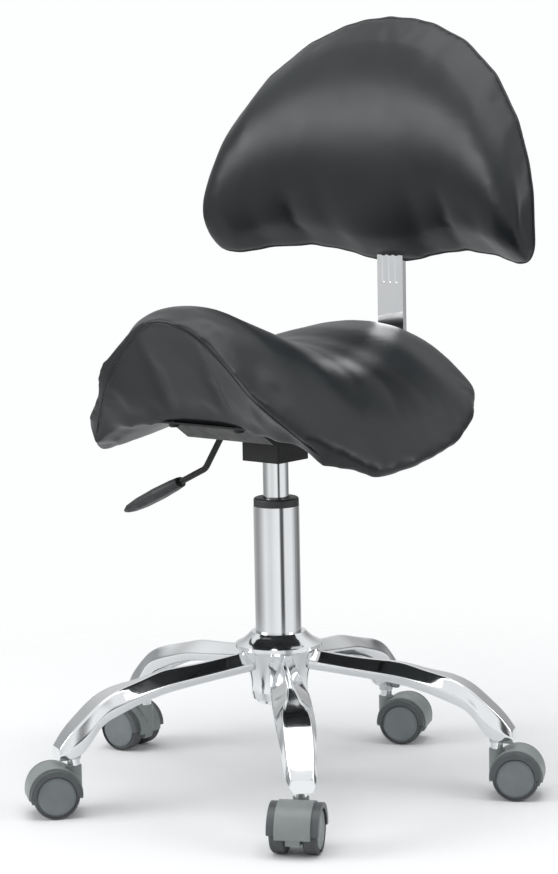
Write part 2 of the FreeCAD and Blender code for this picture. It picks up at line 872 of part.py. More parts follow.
pocket(pan, button_hole, sheet_wall + 1, name="ButtonHole")
bar_window = outline(sketch_in(pan, "bar_window", "XZ_Plane", -(pan_half_y - 4)), [
    (-(bar_half + free), pan_level + sheet_wall),
    (bar_half + free, pan_level + sheet_wall),
    (bar_half + free, bar_high + free),
    (-(bar_half + free), bar_high + free),
])
pocket(pan, bar_window, size("pan_slope_run"), name="BarWindow")
lever_slot_half = size("lever_rod_radius") + 1
lever_slot = outline(sketch_in(pan, "lever_slot", "YZ_Plane", -(pan_half_x - sheet_wall - 14)), [
    (-lever_slot_half, pan_level - 1),
    (lever_slot_half, pan_level - 1),
    (lever_slot_half, lever_level + 10),
    (-lever_slot_half, lever_level + 10),
])
pocket(pan, lever_slot, sheet_wall + 20, name="LeverSlot")
bolt_x = size("bolt_spacing_x") / 2
bolt_y = size("bolt_spacing_y") / 2
bolt_places = [(bolt_x, bolt_y), (-bolt_x, bolt_y), (-bolt_x, -bolt_y), (bolt_x, -bolt_y)]
bolt_holes = sketch_in(pan, "bolt_holes", "XY_Plane", pan_top)
for place_x, place_y in bolt_places:
    circle(bolt_holes, place_x, place_y, size("bolt_radius") + close)
pocket(pan, bolt_holes, sheet_wall + 1, name="BoltHoles")
keep("mechanism_pan", pan)

bolts = []
for place_x, place_y in bolt_places:
    bolt = turned_body("bolt", [
        (0, flange_low - size("bolt_head_height")),
        (size("bolt_head_radius") - 1, flange_low - size("bolt_head_height")),
        (size("bolt_head_radius"), flange_low - size("bolt_head_height") + 1),
        (size("bolt_head_radius"), flange_low),
        (size("bolt_radius"), flange_low),
        (size("bolt_radius"), pan_top + size("shell_thickness") - 1),
        (0, pan_top + size("shell_thickness") - 1),
    ])
    bolts.append(put(bolt, place_x, place_y, 0))
keep("seat_bolts", group("bolts", bolts))


# Height lever: a bent rod on a pin, one end over the gas spring's button, with a moulded grip.
pin_reach = lug_half + sheet_wall + 1
lever_pin = cylinder("pin", size("lever_pin_radius"), pin_reach * 2, lever_x, pin_reach, lever_level, 90.0, "X")
keep("lever_pin", lever_pin)

rod_radius = size("lever_rod_radius")
tongue_end = size("button_radius") + 2
dive_start = pan_half_x + 4
dive_x = -(dive_start + size("lever_dive_length") * cosine(size("lever_dive")))
dive_z = lever_level - size("lever_dive_length") * sine(size("lever_dive"))
bare = size("lever_bare_length")
grip_x = dive_x - bare * cosine(size("lever_slope"))
grip_z = dive_z - bare * sine(size("lever_slope"))
rod_hold = 30.0
hold_x = grip_x - cosine(size("lever_slope")) * rod_hold
hold_z = grip_z - sine(size("lever_slope")) * rod_hold


def bent_path(body, name, corners, radius):
    """An open path of straight runs joined by tangent arcs, one at each inner corner."""
    sketch = sketch_in(body, name, "XZ_Plane")
    spots = [FreeCAD.Vector(x.value, z.value, 0) for x, z in corners]
    bend = as_size(radius).value
    runs = [(spots[i + 1] - spots[i]).normalize() for i in range(len(spots) - 1)]
    trims = [0.0]
    for before, after in zip(runs, runs[1:]):
        trims.append(bend * math.tan(before.getAngle(after) / 2))
    trims.append(0.0)
    lines = []
    for i, run in enumerate(runs):
        line = Part.LineSegment(spots[i] + run * trims[i], spots[i + 1] - run * trims[i + 1])
        lines.append(sketch.addGeometry(line, False))
    for i in range(len(runs) - 1):
        corner = sketch.addGeometry(Part.Point(spots[i + 1]), True)
        fix_point(sketch, corner, 1, *corners[i + 1])
        start = spots[i + 1] - runs[i] * trims[i + 1]
        end = spots[i + 1] + runs[i + 1] * trims[i + 1]
        inward = (runs[i + 1] - runs[i]).normalize()
        centre_gap = bend / math.cos(runs[i].getAngle(runs[i + 1]) / 2)
        middle = spots[i + 1] + inward * (centre_gap - bend)
        turns_left = runs[i].cross(runs[i + 1]).z > 0
        ends = (start, end) if turns_left else (end, start)
        arc = sketch.addGeometry(Part.Arc(ends[0], middle, ends[1]), False)
        first, last = (1, 2) if turns_left else (2, 1)
        sketch.addConstraint(Sketcher.Constraint("PointOnObject", corner, 1, lines[i]))
        sketch.addConstraint(Sketcher.Constraint("PointOnObject", corner, 1, lines[i + 1]))
        sketch.addConstraint(Sketcher.Constraint("Tangent", lines[i], 2, arc, first))
        sketch.addConstraint(Sketcher.Constraint("Tangent", arc, last, lines[i + 1], 1))
        fix_number(sketch, "Radius", arc, as_size(radius))
    fix_point(sketch, lines[0], 1, *corners[0])
    fix_point(sketch, lines[-1], 2, *corners[-1])
    return sketch


lever = new_body("lever")
lever_route = bent_path(lever, "route", [
    (tongue_end, lever_level),
    (-dive_start, lever_level),
    (dive_x, dive_z),
    (hold_x, hold_z),
], rod_radius * 4)
lever_ring = circle(sketch_in(lever, "ring", "YZ_Plane", tongue_end), 0, lever_level, rod_radius)
lever_pipe = lever.newObject("PartDesign::AdditivePipe", "Rod")
lever_pipe.Profile = lever_ring
lever_pipe.Spine = lever_route
boss_ring = circle(sketch_in(lever, "boss", "XZ_Plane"), lever_x, lever_level, size("lever_boss_radius"))
pad(lever, boss_ring, size("lever_boss_width"), symmetric=True, name="Boss")
boss_hole = circle(sketch_in(lever, "boss_hole", "XZ_Plane"), lever_x, lever_level,
                   size("lever_pin_radius") + running)
pocket(lever, boss_hole, size("lever_boss_width") + 4, symmetric=True, name="BossHole")
keep("lever_rod", lever)

grip = new_body("grip")
grip_half = size("grip_thickness") / 2
# Share of the grip's length, then shares of its width and of its thickness.
GRIP_STATIONS = ((0.0, 0.66, 0.84), (0.12, 0.78, 0.95), (0.40, 1.0, 1.0),
                 (0.72, 1.0, 0.90), (0.92, 0.80, 0.66), (1.0, 0.50, 0.30))
grip_sections = []
for share, width_share, thick_share in GRIP_STATIONS:
    half_thick = grip_half * thick_share
    flat_half = size("grip_width") / 2 * width_share - half_thick
    bow = half_thick * 1.0001
    grip_sections.append(outline(sketch_in(grip, "section", "YZ_Plane", size("grip_length") * share), [
        (-flat_half, -half_thick, bow),
        (flat_half, -half_thick),
        (flat_half, half_thick, bow),
        (-flat_half, half_thick),
    ]))
grip_skin = grip.newObject("PartDesign::AdditiveLoft", "Skin")
grip_skin.Profile = grip_sections[0]
grip_skin.Sections = grip_sections[1:]
grip_skin.Ruled = True
rod_socket = circle(sketch_in(grip, "rod_socket", "YZ_Plane"), 0, 0, rod_radius + close)
pocket(grip, rod_socket, rod_hold + 2, backwards=True, name="RodSocket")
keep("lever_grip", put(grip, grip_x, 0, grip_z, as_size(180) - size("lever_slope"), "Y"))


# Back bar: flat steel bent like a J, with pressed ribs up its front face.
bar_mid = bar_low + size("bar_thickness") / 2
bar_half_thick = size("bar_thickness") / 2
bar_front = size("bar_reach") - bar_half_thick
bar_rear = size("bar_reach") + bar_half_thick
bend_inner = size("bar_bend") - bar_half_thick
bend_outer = size("bar_bend") + bar_half_thick
bar_top = bar_mid + size("bar_rise")
bar_end = size("bar_inner_end")
bar = new_body("bar")
bar_side = outline(sketch_in(bar, "side", "YZ_Plane"), [
    (bar_end, bar_low),
    (bar_rear - bend_outer, bar_low),
    (bar_rear, bar_low + bend_outer, bend_outer),
    (bar_rear, bar_top),
    (bar_front, bar_top),
    (bar_front, bar_high + bend_inner),
    (bar_front - bend_inner, bar_high, -bend_inner),
    (bar_end, bar_high),
])
pad(bar, bar_side, size("bar_width"), symmetric=True)
rib_half = size("bar_rib_width") / 2
rib_low = bar_mid + size("bar_rib_start")
rib_high = rib_low + size("bar_rib_length")
ribs = sketch_in(bar, "ribs", "XZ_Plane", -bar_front)
for place in (-1, 0, 1):
    rib_x = size("bar_rib_spacing") * place
    outline(ribs, [
        (rib_x - rib_half, rib_low + rib_half),
        (rib_x + rib_half, rib_low + rib_half, rib_half * 1.001),
        (rib_x + rib_half, rib_high),
        (rib_x - rib_half, rib_high),
    ])
pocket(bar, ribs, size("bar_rib_depth"), name="Ribs")
round_edges(bar, 6.0, lambda edge: abs(edge.tangentAt(edge.FirstParameter).y) > 0.99
            and edge.Length < size("bar_thickness").value + 0.1 and edge.BoundBox.ZMin > rib_high.value)
keep("back_bar", bar)


# Clamp knob under the pan: its screw presses on the bar.
knob_top = pan_level - 5 - free
knob_low = knob_top - size("knob_height")
knob_radius = size("knob_radius")
knob = new_body("knob")
knob_disc = circle(sketch_in(knob, "disc", "XY_Plane", knob_low), 0, 0, knob_radius)
pad(knob, knob_disc, size("knob_height"))
flute = circle(sketch_in(knob, "flute", "XY_Plane", knob_low), knob_radius * 1.22, 0, knob_radius * 0.36)
flute_cut = pocket(knob, flute, size("knob_height"), backwards=True, name="Flute")
doc.recompute()
flutes = knob.newObject("PartDesign::PolarPattern", "Flutes")
flutes.Originals = [flute_cut]
flutes.Axis = (flute, ["N_Axis"])
flutes.Angle = 360.0
flutes.Occurrences = 6
flutes.Axis = (next(item for item in knob.Origin.OriginFeatures if item.Role == "Z_Axis"), [""])
knob.Tip = flutes
screw = circle(sketch_in(knob, "screw", "XY_Plane", knob_top), 0, 0, size("screw_radius"))
pad(knob, screw, bar_low - free - knob_top, name="Screw")
keep("bar_knob", put(knob, 0, knob_y, 0))


# Seat and back forms. Soft pieces and the shells under them are lofts through
# sections of lines and arcs, worked out from the sheet's values.
def plain(thing):
    return as_size(thing).value


def vector(x, y, z):
    return FreeCAD.Vector(plain(x), plain(y), plain(z))


def chain(*edges):
    """A closed wire. Two points make a line and three points an arc through the middle one."""
    made = []
    for points in edges:
        if len(points) == 2:
            made.append(Part.makeLine(*points))
        else:
            made.append(Part.Arc(*points).toShape())
    return Part.Wire(made)


def loft(wires, ruled=False):
    return Part.makeLoft(wires, True, ruled)


def mirrored(rows):
    """The stations of one side and the middle, given to both sides."""
    return [(-row[0], *row[1:]) for row in reversed(rows[1:])] + list(rows)


def shaped(name, shape):
    thing = doc.addObject("Part::Feature", name)
    thing.Shape = shape
    return thing


# Saddle, front to rear. Each station: share of the half length from the middle,
# height of the crown line and of the rim above the pan's top, and power of the arch
# between them, where a low one slopes evenly and a high one has full shoulders.
SADDLE_STATIONS = (
    (-0.995, 115.0, 100.0, 1.6),
    (-0.926, 118.0, 62.0, 1.6),
    (-0.810, 125.0, 0.0, 1.7),
    (-0.650, 122.5, -27.0, 1.9),
    (-0.370, 100.0, -40.0, 2.2),
    (-0.115, 80.0, -35.0, 2.3),
    (0.090, 72.0, -28.0, 2.3),
    (0.300, 73.0, -19.0, 2.3),
    (0.515, 80.0, -2.0, 2.3),
    (0.780, 84.0, 18.0, 2.3),
    (0.925, 78.0, 23.0, 2.3),
    (0.990, 67.0, 26.0, 2.3),
)
# Powers of the oval rim ahead of its middle and behind it, where 2 is an ellipse.
RIM_FRONT = 2.4
RIM_REAR = 2.8
seat_base = pan_top.value
half_wide = size("seat_half_width").value
half_long = size("seat_half_length").value
seat_mid = size("seat_centre").value
lip = size("seat_lip").value
lip_drop = size("seat_lip_drop").value
gap = size("soft_gap").value


def rim_reach(y):
    """Half width of the seat's oval rim at a place along Y."""
    power = RIM_FRONT if y < seat_mid else RIM_REAR
    share = abs(y - seat_mid) / half_long
    return half_wide * max(1 - share ** power, 0.0) ** (1 / power)


saddle_rows = [(seat_mid + share * half_long, *rest) for share, *rest in SADDLE_STATIONS]


def between(table, y, column):
    """Straight-line value of a table's column at y."""
    for low, high in zip(table, table[1:]):
        if low[0] <= y <= high[0]:
            share = (y - low[0]) / (high[0] - low[0])
            return low[column] + share * (high[column] - low[column])
    return table[0][column] if y < table[0][0] else table[-1][column]


def saddle_section(y, crown, rim, power):
    """Crowned arch over the sitter's sides, with a rounded lip and an open flat underside."""
    reach = rim_reach(y)
    crown = crown + seat_base
    rim = rim + seat_base
    tuck = min(lip, reach * 0.4)

    def over(share, side):
        drop = (crown - rim) * share ** power
        return vector(side * share * reach, y, crown - drop)

    def under(side, inset, drop):
        return vector(side * (reach - inset), y, rim - drop)

    return chain(
        (over(1.0, -1), over(0.84, -1), over(0.6, -1)),
        (over(0.6, -1), vector(0, y, crown), over(0.6, 1)),
        (over(0.6, 1), over(0.84, 1), over(1.0, 1)),
        (over(1.0, 1), under(1, tuck * 0.25, lip_drop * 0.75), under(1, tuck, lip_drop)),
        (under(1, tuck, lip_drop), under(-1, tuck, lip_drop)),
        (under(-1, tuck, lip_drop), under(-1, tuck * 0.25, lip_drop * 0.75), over(1.0, -1)),
    )


shell_wall = size("shell_thickness").value
shell_flat = size("shell_flat").value
shell_front = seat_mid - half_long + size("shell_front_margin").value
shell_rear = seat_mid + half_long - size("shell_rear_margin").value
SHELL_STEPS = 6


def shell_section(y, grow, floor=None):
    """The moulded shell's arch: flat over the pan, then falling to the rim on both sides."""
    edge_x = rim_reach(y) - size("shell_inset").value + grow
    edge_z = seat_base + between(saddle_rows, y, 2) - 1 + grow
    flat_z = seat_base + shell_wall + grow
    flat_x = min(shell_flat, edge_x - 12) + grow

    def slope(side, lower):
        wall = shell_wall + 2 * grow if lower else 0.0
        middle_x = flat_x + 0.55 * (edge_x - flat_x)
        middle_z = flat_z + 0.34 * (edge_z - flat_z)
        if lower:
            middle_z -= wall
        return vector(side * middle_x, y, middle_z)

    def spot(side, x, z):
        return vector(side * x, y, z)

    top = [spot(-1, edge_x, edge_z), slope(-1, False), spot(-1, flat_x, flat_z)]
    top_right = [spot(1, flat_x, flat_z), slope(1, False), spot(1, edge_x, edge_z)]
    if floor is not None:
        return chain(
            top,
            (top[-1], top_right[0]),
            top_right,
            (top_right[-1], spot(1, edge_x, floor)),
            (spot(1, edge_x, floor), spot(-1, edge_x, floor)),
            (spot(-1, edge_x, floor), top[0]),
        )
    rim_wall = shell_wall * 0.8
    low_right = [spot(1, edge_x, edge_z - rim_wall), slope(1, True), spot(1, flat_x, flat_z - shell_wall)]
    low_left = [spot(-1, flat_x, flat_z - shell_wall), slope(-1, True), spot(-1, edge_x, edge_z - rim_wall)]
    return chain(
        top,
        (top[-1], top_right[0]),
        top_right,
        (top_right[-1], low_right[0]),
        low_right,
        (low_right[-1], low_left[0]),
        low_left,
        (low_left[-1], top[0]),
    )


def shell_places():
    span = shell_rear - shell_front
    return [shell_front + span * step / SHELL_STEPS for step in range(SHELL_STEPS + 1)]


shell_solid = loft([shell_section(y, 0.0) for y in shell_places()], ruled=True)
bolt_cuts = [
    Part.makeCylinder(
        plain(size("bolt_radius") + close), shell_wall + 2, vector(x, y, seat_base - 1))
    for x, y in bolt_places
]
shell_solid = shell_solid.cut(Part.makeCompound(bolt_cuts))
keep("seat_shell", shaped("seat_shell", shell_solid))

# Front panel: the scoop between the arch seam and the lower front edge.
# Each station: share of the half width, then share of the half length and height
# of the seam, and the same for the lower edge.
SCOOP_STATIONS = (
    (0.0, -1.0, 114.0, -0.704, 12.0),
    (0.184, -0.952, 99.0, -0.688, 4.0),
    (0.340, -0.921, 72.0, -0.672, -16.0),
    (0.530, -0.852, 25.0, -0.640, -34.0),
    (0.730, -0.672, -20.0, -0.503, -47.0),
    (0.920, -0.471, -38.0, -0.397, -50.0),
    (1.090, -0.333, -45.0, -0.307, -60.0),
)
SCOOP_DEPTH = 9.0


def scoop_section(side_share, seam_share, seam_z, low_share, low_z):
    """Everything ahead of the panel at one place along X."""
    x = side_share * half_wide
    seam_y = seat_mid + seam_share * half_long
    low_y = seat_mid + low_share * half_long
    seam = vector(x, seam_y, seat_base + seam_z)
    low = vector(x, low_y, seat_base + low_z)
    down = (low - seam).normalize()
    inward = FreeCAD.Vector(0, -down.z, down.y)
    depth = SCOOP_DEPTH * min(1.0, (seam - low).Length / 60)
    top = seam - down * 40
    bottom = low + down * 50
    middle = (seam + low) * 0.5 + inward * depth
    return chain(
        (top, middle, bottom),
        (bottom, vector(x, -320, seat_base - 150)),
        (vector(x, -320, seat_base - 150), vector(x, -320, seat_base + 200)),
        (vector(x, -320, seat_base + 200), top),
    )


scoop = loft([scoop_section(*row) for row in mirrored(SCOOP_STATIONS)], ruled=True)
saddle = loft([saddle_section(*row) for row in saddle_rows], ruled=True)
under_floor = seat_base - 80
under = loft([shell_section(y, gap, under_floor) for y in
              [shell_front - gap] + shell_places()[1:-1] + [shell_rear + gap]], ruled=True)

# Bell-shaped opening of the front edge, ahead of the shell.
BELL = ((0.0, 13.0), (48.0, -1.0), (75.0, -19.0), (112.0, -35.0), (158.0, -47.0))


def bell_section(y):
    points = [vector(x, y, seat_base + z) for x, z in BELL]
    mirror = [vector(-x, y, seat_base + z) for x, z in BELL]
    low_right = vector(BELL[-1][0], y, under_floor)
    low_left = vector(-BELL[-1][0], y, under_floor)
    return chain(
        (mirror[4], mirror[3], mirror[2]),
        (mirror[2], mirror[1]),
        (mirror[1], points[0], points[1]),
        (points[1], points[2]),
        (points[2], points[3], points[4]),
        (points[4], low_right),
        (low_right, low_left),
        (low_left, mirror[4]),
    )


bell = loft([bell_section(-260.0), bell_section(shell_front - gap + 0.05)], ruled=True)
cushion = saddle.cut(under).cut(bell).cut(scoop)
cushion_solid = max(cushion.Solids, key=lambda solid: solid.Volume)
keep("seat_cushion", shaped("seat_cushion", cushion_solid))


# Back rest: half-moon pad on a curved shell, closed by a rear panel, open below for the bar.
# Each station: share of the half width and height of the lower edge above the middle one's.
BACK_STATIONS = ((0.0, 0.0), (0.14, 2.0), (0.27, 10.0), (0.48, 16.0), (0.70, 13.0),
                 (0.865, 6.0), (0.95, 9.0), (0.985, 22.0))
WRAP_POWER = 2.4
FADE_REACH = 1.026
REAR_FLAT = 0.86
SHELL_RISE = 12.0
back_base = pan_top + size("back_lift")
back_waist = plain(back_base + size("back_corner_rise"))
back_half = plain(size("back_half_width"))
back_crown = plain(size("back_crown"))
back_seam = plain(size("back_edge"))
back_fullness = back_seam - plain(size("back_front"))
back_bulge = plain(size("back_bulge"))


def back_top(share, inset=0.0):
    """Height of the half-moon's upper edge at a share of its half width."""
    return back_waist + (back_crown - inset) * math.sqrt(1 - share ** 2)


def wrap(x):
    """How far the pad's ends curve forward at a place along X."""
    return plain(size("back_wrap")) * abs(x / back_half) ** WRAP_POWER


def back_section(share, low):
    """A domed front face between two seam corners, and a flat rear with rounded edges."""
    x = share * back_half
    bottom = back_base.value + low
    middle = (back_top(share) + bottom) / 2
    half_high = (back_top(share) - bottom) / 2
    seam = back_seam - wrap(x)
    front = seam - back_fullness * math.sqrt(1 - (share / FADE_REACH) ** 4)
    rear = seam + back_bulge * math.sqrt(1 - (share / FADE_REACH) ** 8)
    edge_depth = seam + 0.7 * (rear - seam)
    edge_share = 1 - 0.3 * (1 - REAR_FLAT)

    def spot(y, height_share):
        return vector(x, y, middle + height_share * half_high)

    return chain(
        (spot(seam, 1.0), spot(front, 0.0), spot(seam, -1.0)),
        (spot(seam, -1.0), spot(edge_depth, -edge_share), spot(rear, -REAR_FLAT)),
        (spot(rear, -REAR_FLAT), spot(rear, REAR_FLAT)),
        (spot(rear, REAR_FLAT), spot(edge_depth, edge_share), spot(seam, 1.0)),
    )


def slab_section(share, low, inset, near, far):
    """A thin section between two depths from the seam line, inset all round from the edge."""
    place = share * (back_half - inset)
    seam = back_seam - wrap(place)
    bottom = back_base.value + max(low, SHELL_RISE) + inset
    top = back_top(share, inset)
    return chain(
        (vector(place, seam + near, bottom), vector(place, seam + near, top)),
        (vector(place, seam + near, top), vector(place, seam + far, top)),
        (vector(place, seam + far, top), vector(place, seam + far, bottom)),
        (vector(place, seam + far, bottom), vector(place, seam + near, bottom)),
    )


def slab(inset, near, far):
    return loft([slab_section(*row, inset, near, far) for row in mirrored(BACK_STATIONS)], ruled=True)


rim = plain(size("back_rim"))
shell_far = -plain(size("back_shell_depth"))
shell_near = shell_far - plain(size("back_shell_thickness"))
cover_far = back_bulge
cover_near = cover_far - plain(size("back_cover_thickness"))
slot_gap = 0.8
pad_solid = loft([back_section(*row) for row in mirrored(BACK_STATIONS)], ruled=True)
back_hollow = slab(rim - gap, shell_near - gap, back_bulge + 40)
bar_slot = Part.makeBox(
    plain(size("bar_width")) + 2 * slot_gap, plain(size("bar_thickness")) + 2 * slot_gap, 120.0,
    vector(-bar_half - slot_gap, bar_front - slot_gap, back_base - 20))
back_pad = pad_solid.cut(back_hollow).cut(bar_slot)
keep("backrest_cushion", shaped("backrest_cushion", max(back_pad.Solids, key=lambda solid: solid.Volume)))
keep("backrest_rear_panel", shaped("backrest_rear_panel", slab(rim, cover_near, cover_far)))

# Sleeve: a steel channel screwed to the shell, in which the bar slides up and down.
sleeve_front = size("back_edge") - size("back_shell_depth")
sleeve_low = back_base + size("back_rim") + size("sleeve_lift")
sleeve_wall = size("sleeve_wall")
sleeve_rear = bar_rear + free + sleeve_wall
sleeve_half = bar_half + free + sleeve_wall
sleeve_reach = sleeve_half + size("sleeve_flange")
sleeve = new_body("sleeve")
sleeve_outer = outline(sketch_in(sleeve, "outer", "XY_Plane", sleeve_low), [
    (-sleeve_reach, sleeve_front),
    (sleeve_reach, sleeve_front),
    (sleeve_reach, sleeve_front + sleeve_wall),
    (sleeve_half, sleeve_front + sleeve_wall),
    (sleeve_half, sleeve_rear),
    (-sleeve_half, sleeve_rear),
    (-sleeve_half, sleeve_front + sleeve_wall),
    (-sleeve_reach, sleeve_front + sleeve_wall),
])
pad(sleeve, sleeve_outer, size("sleeve_height"))
sleeve_bore = outline(sketch_in(sleeve, "bore", "XY_Plane", sleeve_low), [
    (-(bar_half + free), bar_front - free),
    (bar_half + free, bar_front - free),
    (bar_half + free, bar_rear + free),
    (-(bar_half + free), bar_rear + free),
])
pocket(sleeve, sleeve_bore, size("sleeve_height"), backwards=True, name="Bore")
screw_x = sleeve_half + size("sleeve_flange") / 2
screw_low = sleeve_low + size("sleeve_flange")
screw_high = sleeve_low + size("sleeve_height") - size("sleeve_flange")
screw_places = [(x, z) for x in (-screw_x, screw_x) for z in (screw_low, screw_high)]
screw_holes = sketch_in(sleeve, "screw_holes", "XZ_Plane", -(sleeve_front + sleeve_wall + 1))
for x, z in screw_places:
    circle(screw_holes, x, z, size("back_screw_radius") + close)
pocket(sleeve, screw_holes, sleeve_wall + 2, backwards=True, name="ScrewHoles")
keep("back_sleeve", sleeve)

screw_seat = sleeve_front + sleeve_wall
screws = []
for x, z in screw_places:
    back_screw = turned_body("back_screw", [
        (0, -(sleeve_wall + size("back_screw_grip"))),
        (size("back_screw_radius"), -(sleeve_wall + size("back_screw_grip"))),
        (size("back_screw_radius"), 0),
        (size("back_screw_head_radius"), 0),
        (size("back_screw_head_radius") - 1, size("back_screw_head")),
        (0, size("back_screw_head")),
    ])
    screws.append(put(back_screw, x, screw_seat, z, -90.0, "X"))
keep("backrest_screws", group("back_screws", screws))
back_shell = slab(rim, shell_near, shell_far)
for x, z in screw_places:
    hole = Part.makeCylinder(
        plain(size("back_screw_radius") + close), plain(size("back_screw_grip")) + 1,
        vector(x, sleeve_front + 1, z), FreeCAD.Vector(0, -1, 0))
    back_shell = back_shell.cut(hole)
keep("backrest_shell", shaped("backrest_shell", back_shell))


# Checks, then one file for each sub-part.
doc.recompute()
faults = [thing.Label for thing in doc.Objects if "Invalid" in thing.State or "Error" in thing.State]
if faults:
    raise RuntimeError(f"failed objects: {faults}")
os.makedirs("parts", exist_ok=True)
for node, thing in pieces.items():
    shape = thing.Shape
    if shape.isNull() or not shape.isValid() or not shape.Solids:
        raise RuntimeError(f"{node} has no valid solid")
    shape.exportStep(f"parts/{node}.step")
    print(node, len(shape.Solids), round(shape.Volume))
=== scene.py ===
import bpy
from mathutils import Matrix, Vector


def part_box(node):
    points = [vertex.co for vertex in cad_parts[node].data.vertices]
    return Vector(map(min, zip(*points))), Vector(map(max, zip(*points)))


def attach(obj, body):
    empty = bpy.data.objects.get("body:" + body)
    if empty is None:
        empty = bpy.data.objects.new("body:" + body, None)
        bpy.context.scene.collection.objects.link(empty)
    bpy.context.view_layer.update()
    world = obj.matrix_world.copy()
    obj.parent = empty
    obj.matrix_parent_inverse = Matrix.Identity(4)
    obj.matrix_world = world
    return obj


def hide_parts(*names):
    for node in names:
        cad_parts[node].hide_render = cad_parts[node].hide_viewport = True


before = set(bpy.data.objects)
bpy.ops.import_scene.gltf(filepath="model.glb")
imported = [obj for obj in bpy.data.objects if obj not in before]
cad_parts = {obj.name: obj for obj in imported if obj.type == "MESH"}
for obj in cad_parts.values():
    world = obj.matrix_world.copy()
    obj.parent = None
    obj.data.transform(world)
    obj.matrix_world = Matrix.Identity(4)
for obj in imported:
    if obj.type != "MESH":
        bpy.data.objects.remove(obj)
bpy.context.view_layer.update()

import math

import bmesh
import bpy
import numpy as np
from mathutils import Matrix, Vector
from mathutils.bvhtree import BVHTree

# Camera: at the photo's angle, a long lens about three metres away and a little above the seat.
eye = Vector((1.9284, -2.2981, 0.8001))
ahead = Vector((-0.6357, 0.7598, -0.1364)).normalized()
roll = -0.0184
level_right = ahead.cross(Vector((0, 0, 1))).normalized()
level_up = level_right.cross(ahead)
right = level_right * math.cos(roll) + level_up * math.sin(roll)
up = level_up * math.cos(roll) - level_right * math.sin(roll)
turn = Matrix((right, up, -ahead)).transposed().to_4x4()
lens = bpy.data.cameras.new("photo_camera")
lens.lens = 115.5
lens.sensor_width = 36.0
lens.clip_end = 100.0
camera = bpy.data.objects.new("photo_camera", lens)
bpy.context.scene.collection.objects.link(camera)
camera.matrix_world = Matrix.Translation(eye) @ turn
bpy.context.scene.camera = camera
bpy.context.scene.view_settings.view_transform = "Standard"

# Stage: a plain white floor, which keeps the soft shadow under the castors and fades into the
# white surroundings further out.
floor_mesh = bpy.data.meshes.new("floor")
floor_mesh.from_pydata([(-1.2, -1.2, 0), (1.2, -1.2, 0), (1.2, 1.2, 0), (-1.2, 1.2, 0)], [], [(0, 1, 2, 3)])
floor = bpy.data.objects.new("floor", floor_mesh)
bpy.context.scene.collection.objects.link(floor)
floor.location.z = -0.0005
paper = bpy.data.materials.new("studio_paper")
paper.use_nodes = True
paper_shader = paper.node_tree.nodes["Principled BSDF"]
paper_shader.inputs["Base Color"].default_value = (0.93, 0.935, 0.94, 1)
paper_shader.inputs["Roughness"].default_value = 0.9
paper_shader.inputs["Specular IOR Level"].default_value = 0.0
paper_place = paper.node_tree.nodes.new("ShaderNodeTexCoord")
reach = paper.node_tree.nodes.new("ShaderNodeVectorMath")
reach.operation = "LENGTH"
paper.node_tree.links.new(paper_place.outputs["Object"], reach.inputs[0])
fade = paper.node_tree.nodes.new("ShaderNodeMapRange")
fade.interpolation_type = "SMOOTHSTEP"
for key, number in (("From Min", 0.40), ("From Max", 1.05), ("To Min", 1.0), ("To Max", 0.0)):
    fade.inputs[key].default_value = number
paper.node_tree.links.new(reach.outputs["Value"], fade.inputs["Value"])
paper.node_tree.links.new(fade.outputs[0], paper_shader.inputs["Alpha"])
floor_mesh.materials.append(paper)

# Studio surroundings: white for the eye and for soft light, with a few tall dark flats that
# only show as the dark streaks in the chrome.
world = bpy.data.worlds.new("studio")
bpy.context.scene.world = world
world.use_nodes = True
tree = world.node_tree
tree.nodes.clear()
place = tree.nodes.new("ShaderNodeTexCoord")
split = tree.nodes.new("ShaderNodeSeparateXYZ")
tree.links.new(place.outputs["Generated"], split.inputs[0])
around = tree.nodes.new("ShaderNodeMath")
around.operation = "ARCTAN2"
tree.links.new(split.outputs["Y"], around.inputs[0])
tree.links.new(split.outputs["X"], around.inputs[1])
share = tree.nodes.new("ShaderNodeMapRange")
share.inputs["From Min"].default_value = -math.pi
share.inputs["From Max"].default_value = math.pi
tree.links.new(around.outputs[0], share.inputs["Value"])
flats = tree.nodes.new("ShaderNodeValToRGB")
ramp = flats.color_ramp
ramp.elements[0].position, ramp.elements[0].color = 0.0, (0.42, 0.43, 0.44, 1)
ramp.elements[1].position, ramp.elements[1].color = 1.0, (0.42, 0.43, 0.44, 1)
for spot, shade in ((0.05, 0.34), (0.11, 0.50), (0.19, 0.95), (0.27, 0.82), (0.33, 0.98),
                    (0.392, 1.05), (0.414, 0.12), (0.446, 0.10), (0.470, 0.95), (0.58, 0.98),
                    (0.65, 0.40), (0.73, 0.16), (0.79, 0.45), (0.86, 0.80), (0.93, 0.55)):
    stop = ramp.elements.new(spot)
    stop.color = (shade, shade * 1.01, shade * 1.02, 1)
tree.links.new(share.outputs[0], flats.inputs["Fac"])
height = tree.nodes.new("ShaderNodeMapRange")
height.inputs["From Min"].default_value = 0.30
height.inputs["From Max"].default_value = 0.62
tree.links.new(split.outputs["Z"], height.inputs["Value"])
mixed = tree.nodes.new("ShaderNodeMixRGB")
mixed.inputs["Color2"].default_value = (1.0, 1.01, 1.02, 1)
tree.links.new(height.outputs[0], mixed.inputs["Fac"])
tree.links.new(flats.outputs["Color"], mixed.inputs["Color1"])
below = tree.nodes.new("ShaderNodeMapRange")
below.inputs["From Min"].default_value = -0.22
below.inputs["From Max"].default_value = -0.55
tree.links.new(split.outputs["Z"], below.inputs["Value"])
ground = tree.nodes.new("ShaderNodeMixRGB")
ground.inputs["Color2"].default_value = (0.90, 0.91, 0.92, 1)
tree.links.new(below.outputs[0], ground.inputs["Fac"])
tree.links.new(mixed.outputs["Color"], ground.inputs["Color1"])
mirrored = tree.nodes.new("ShaderNodeBackground")
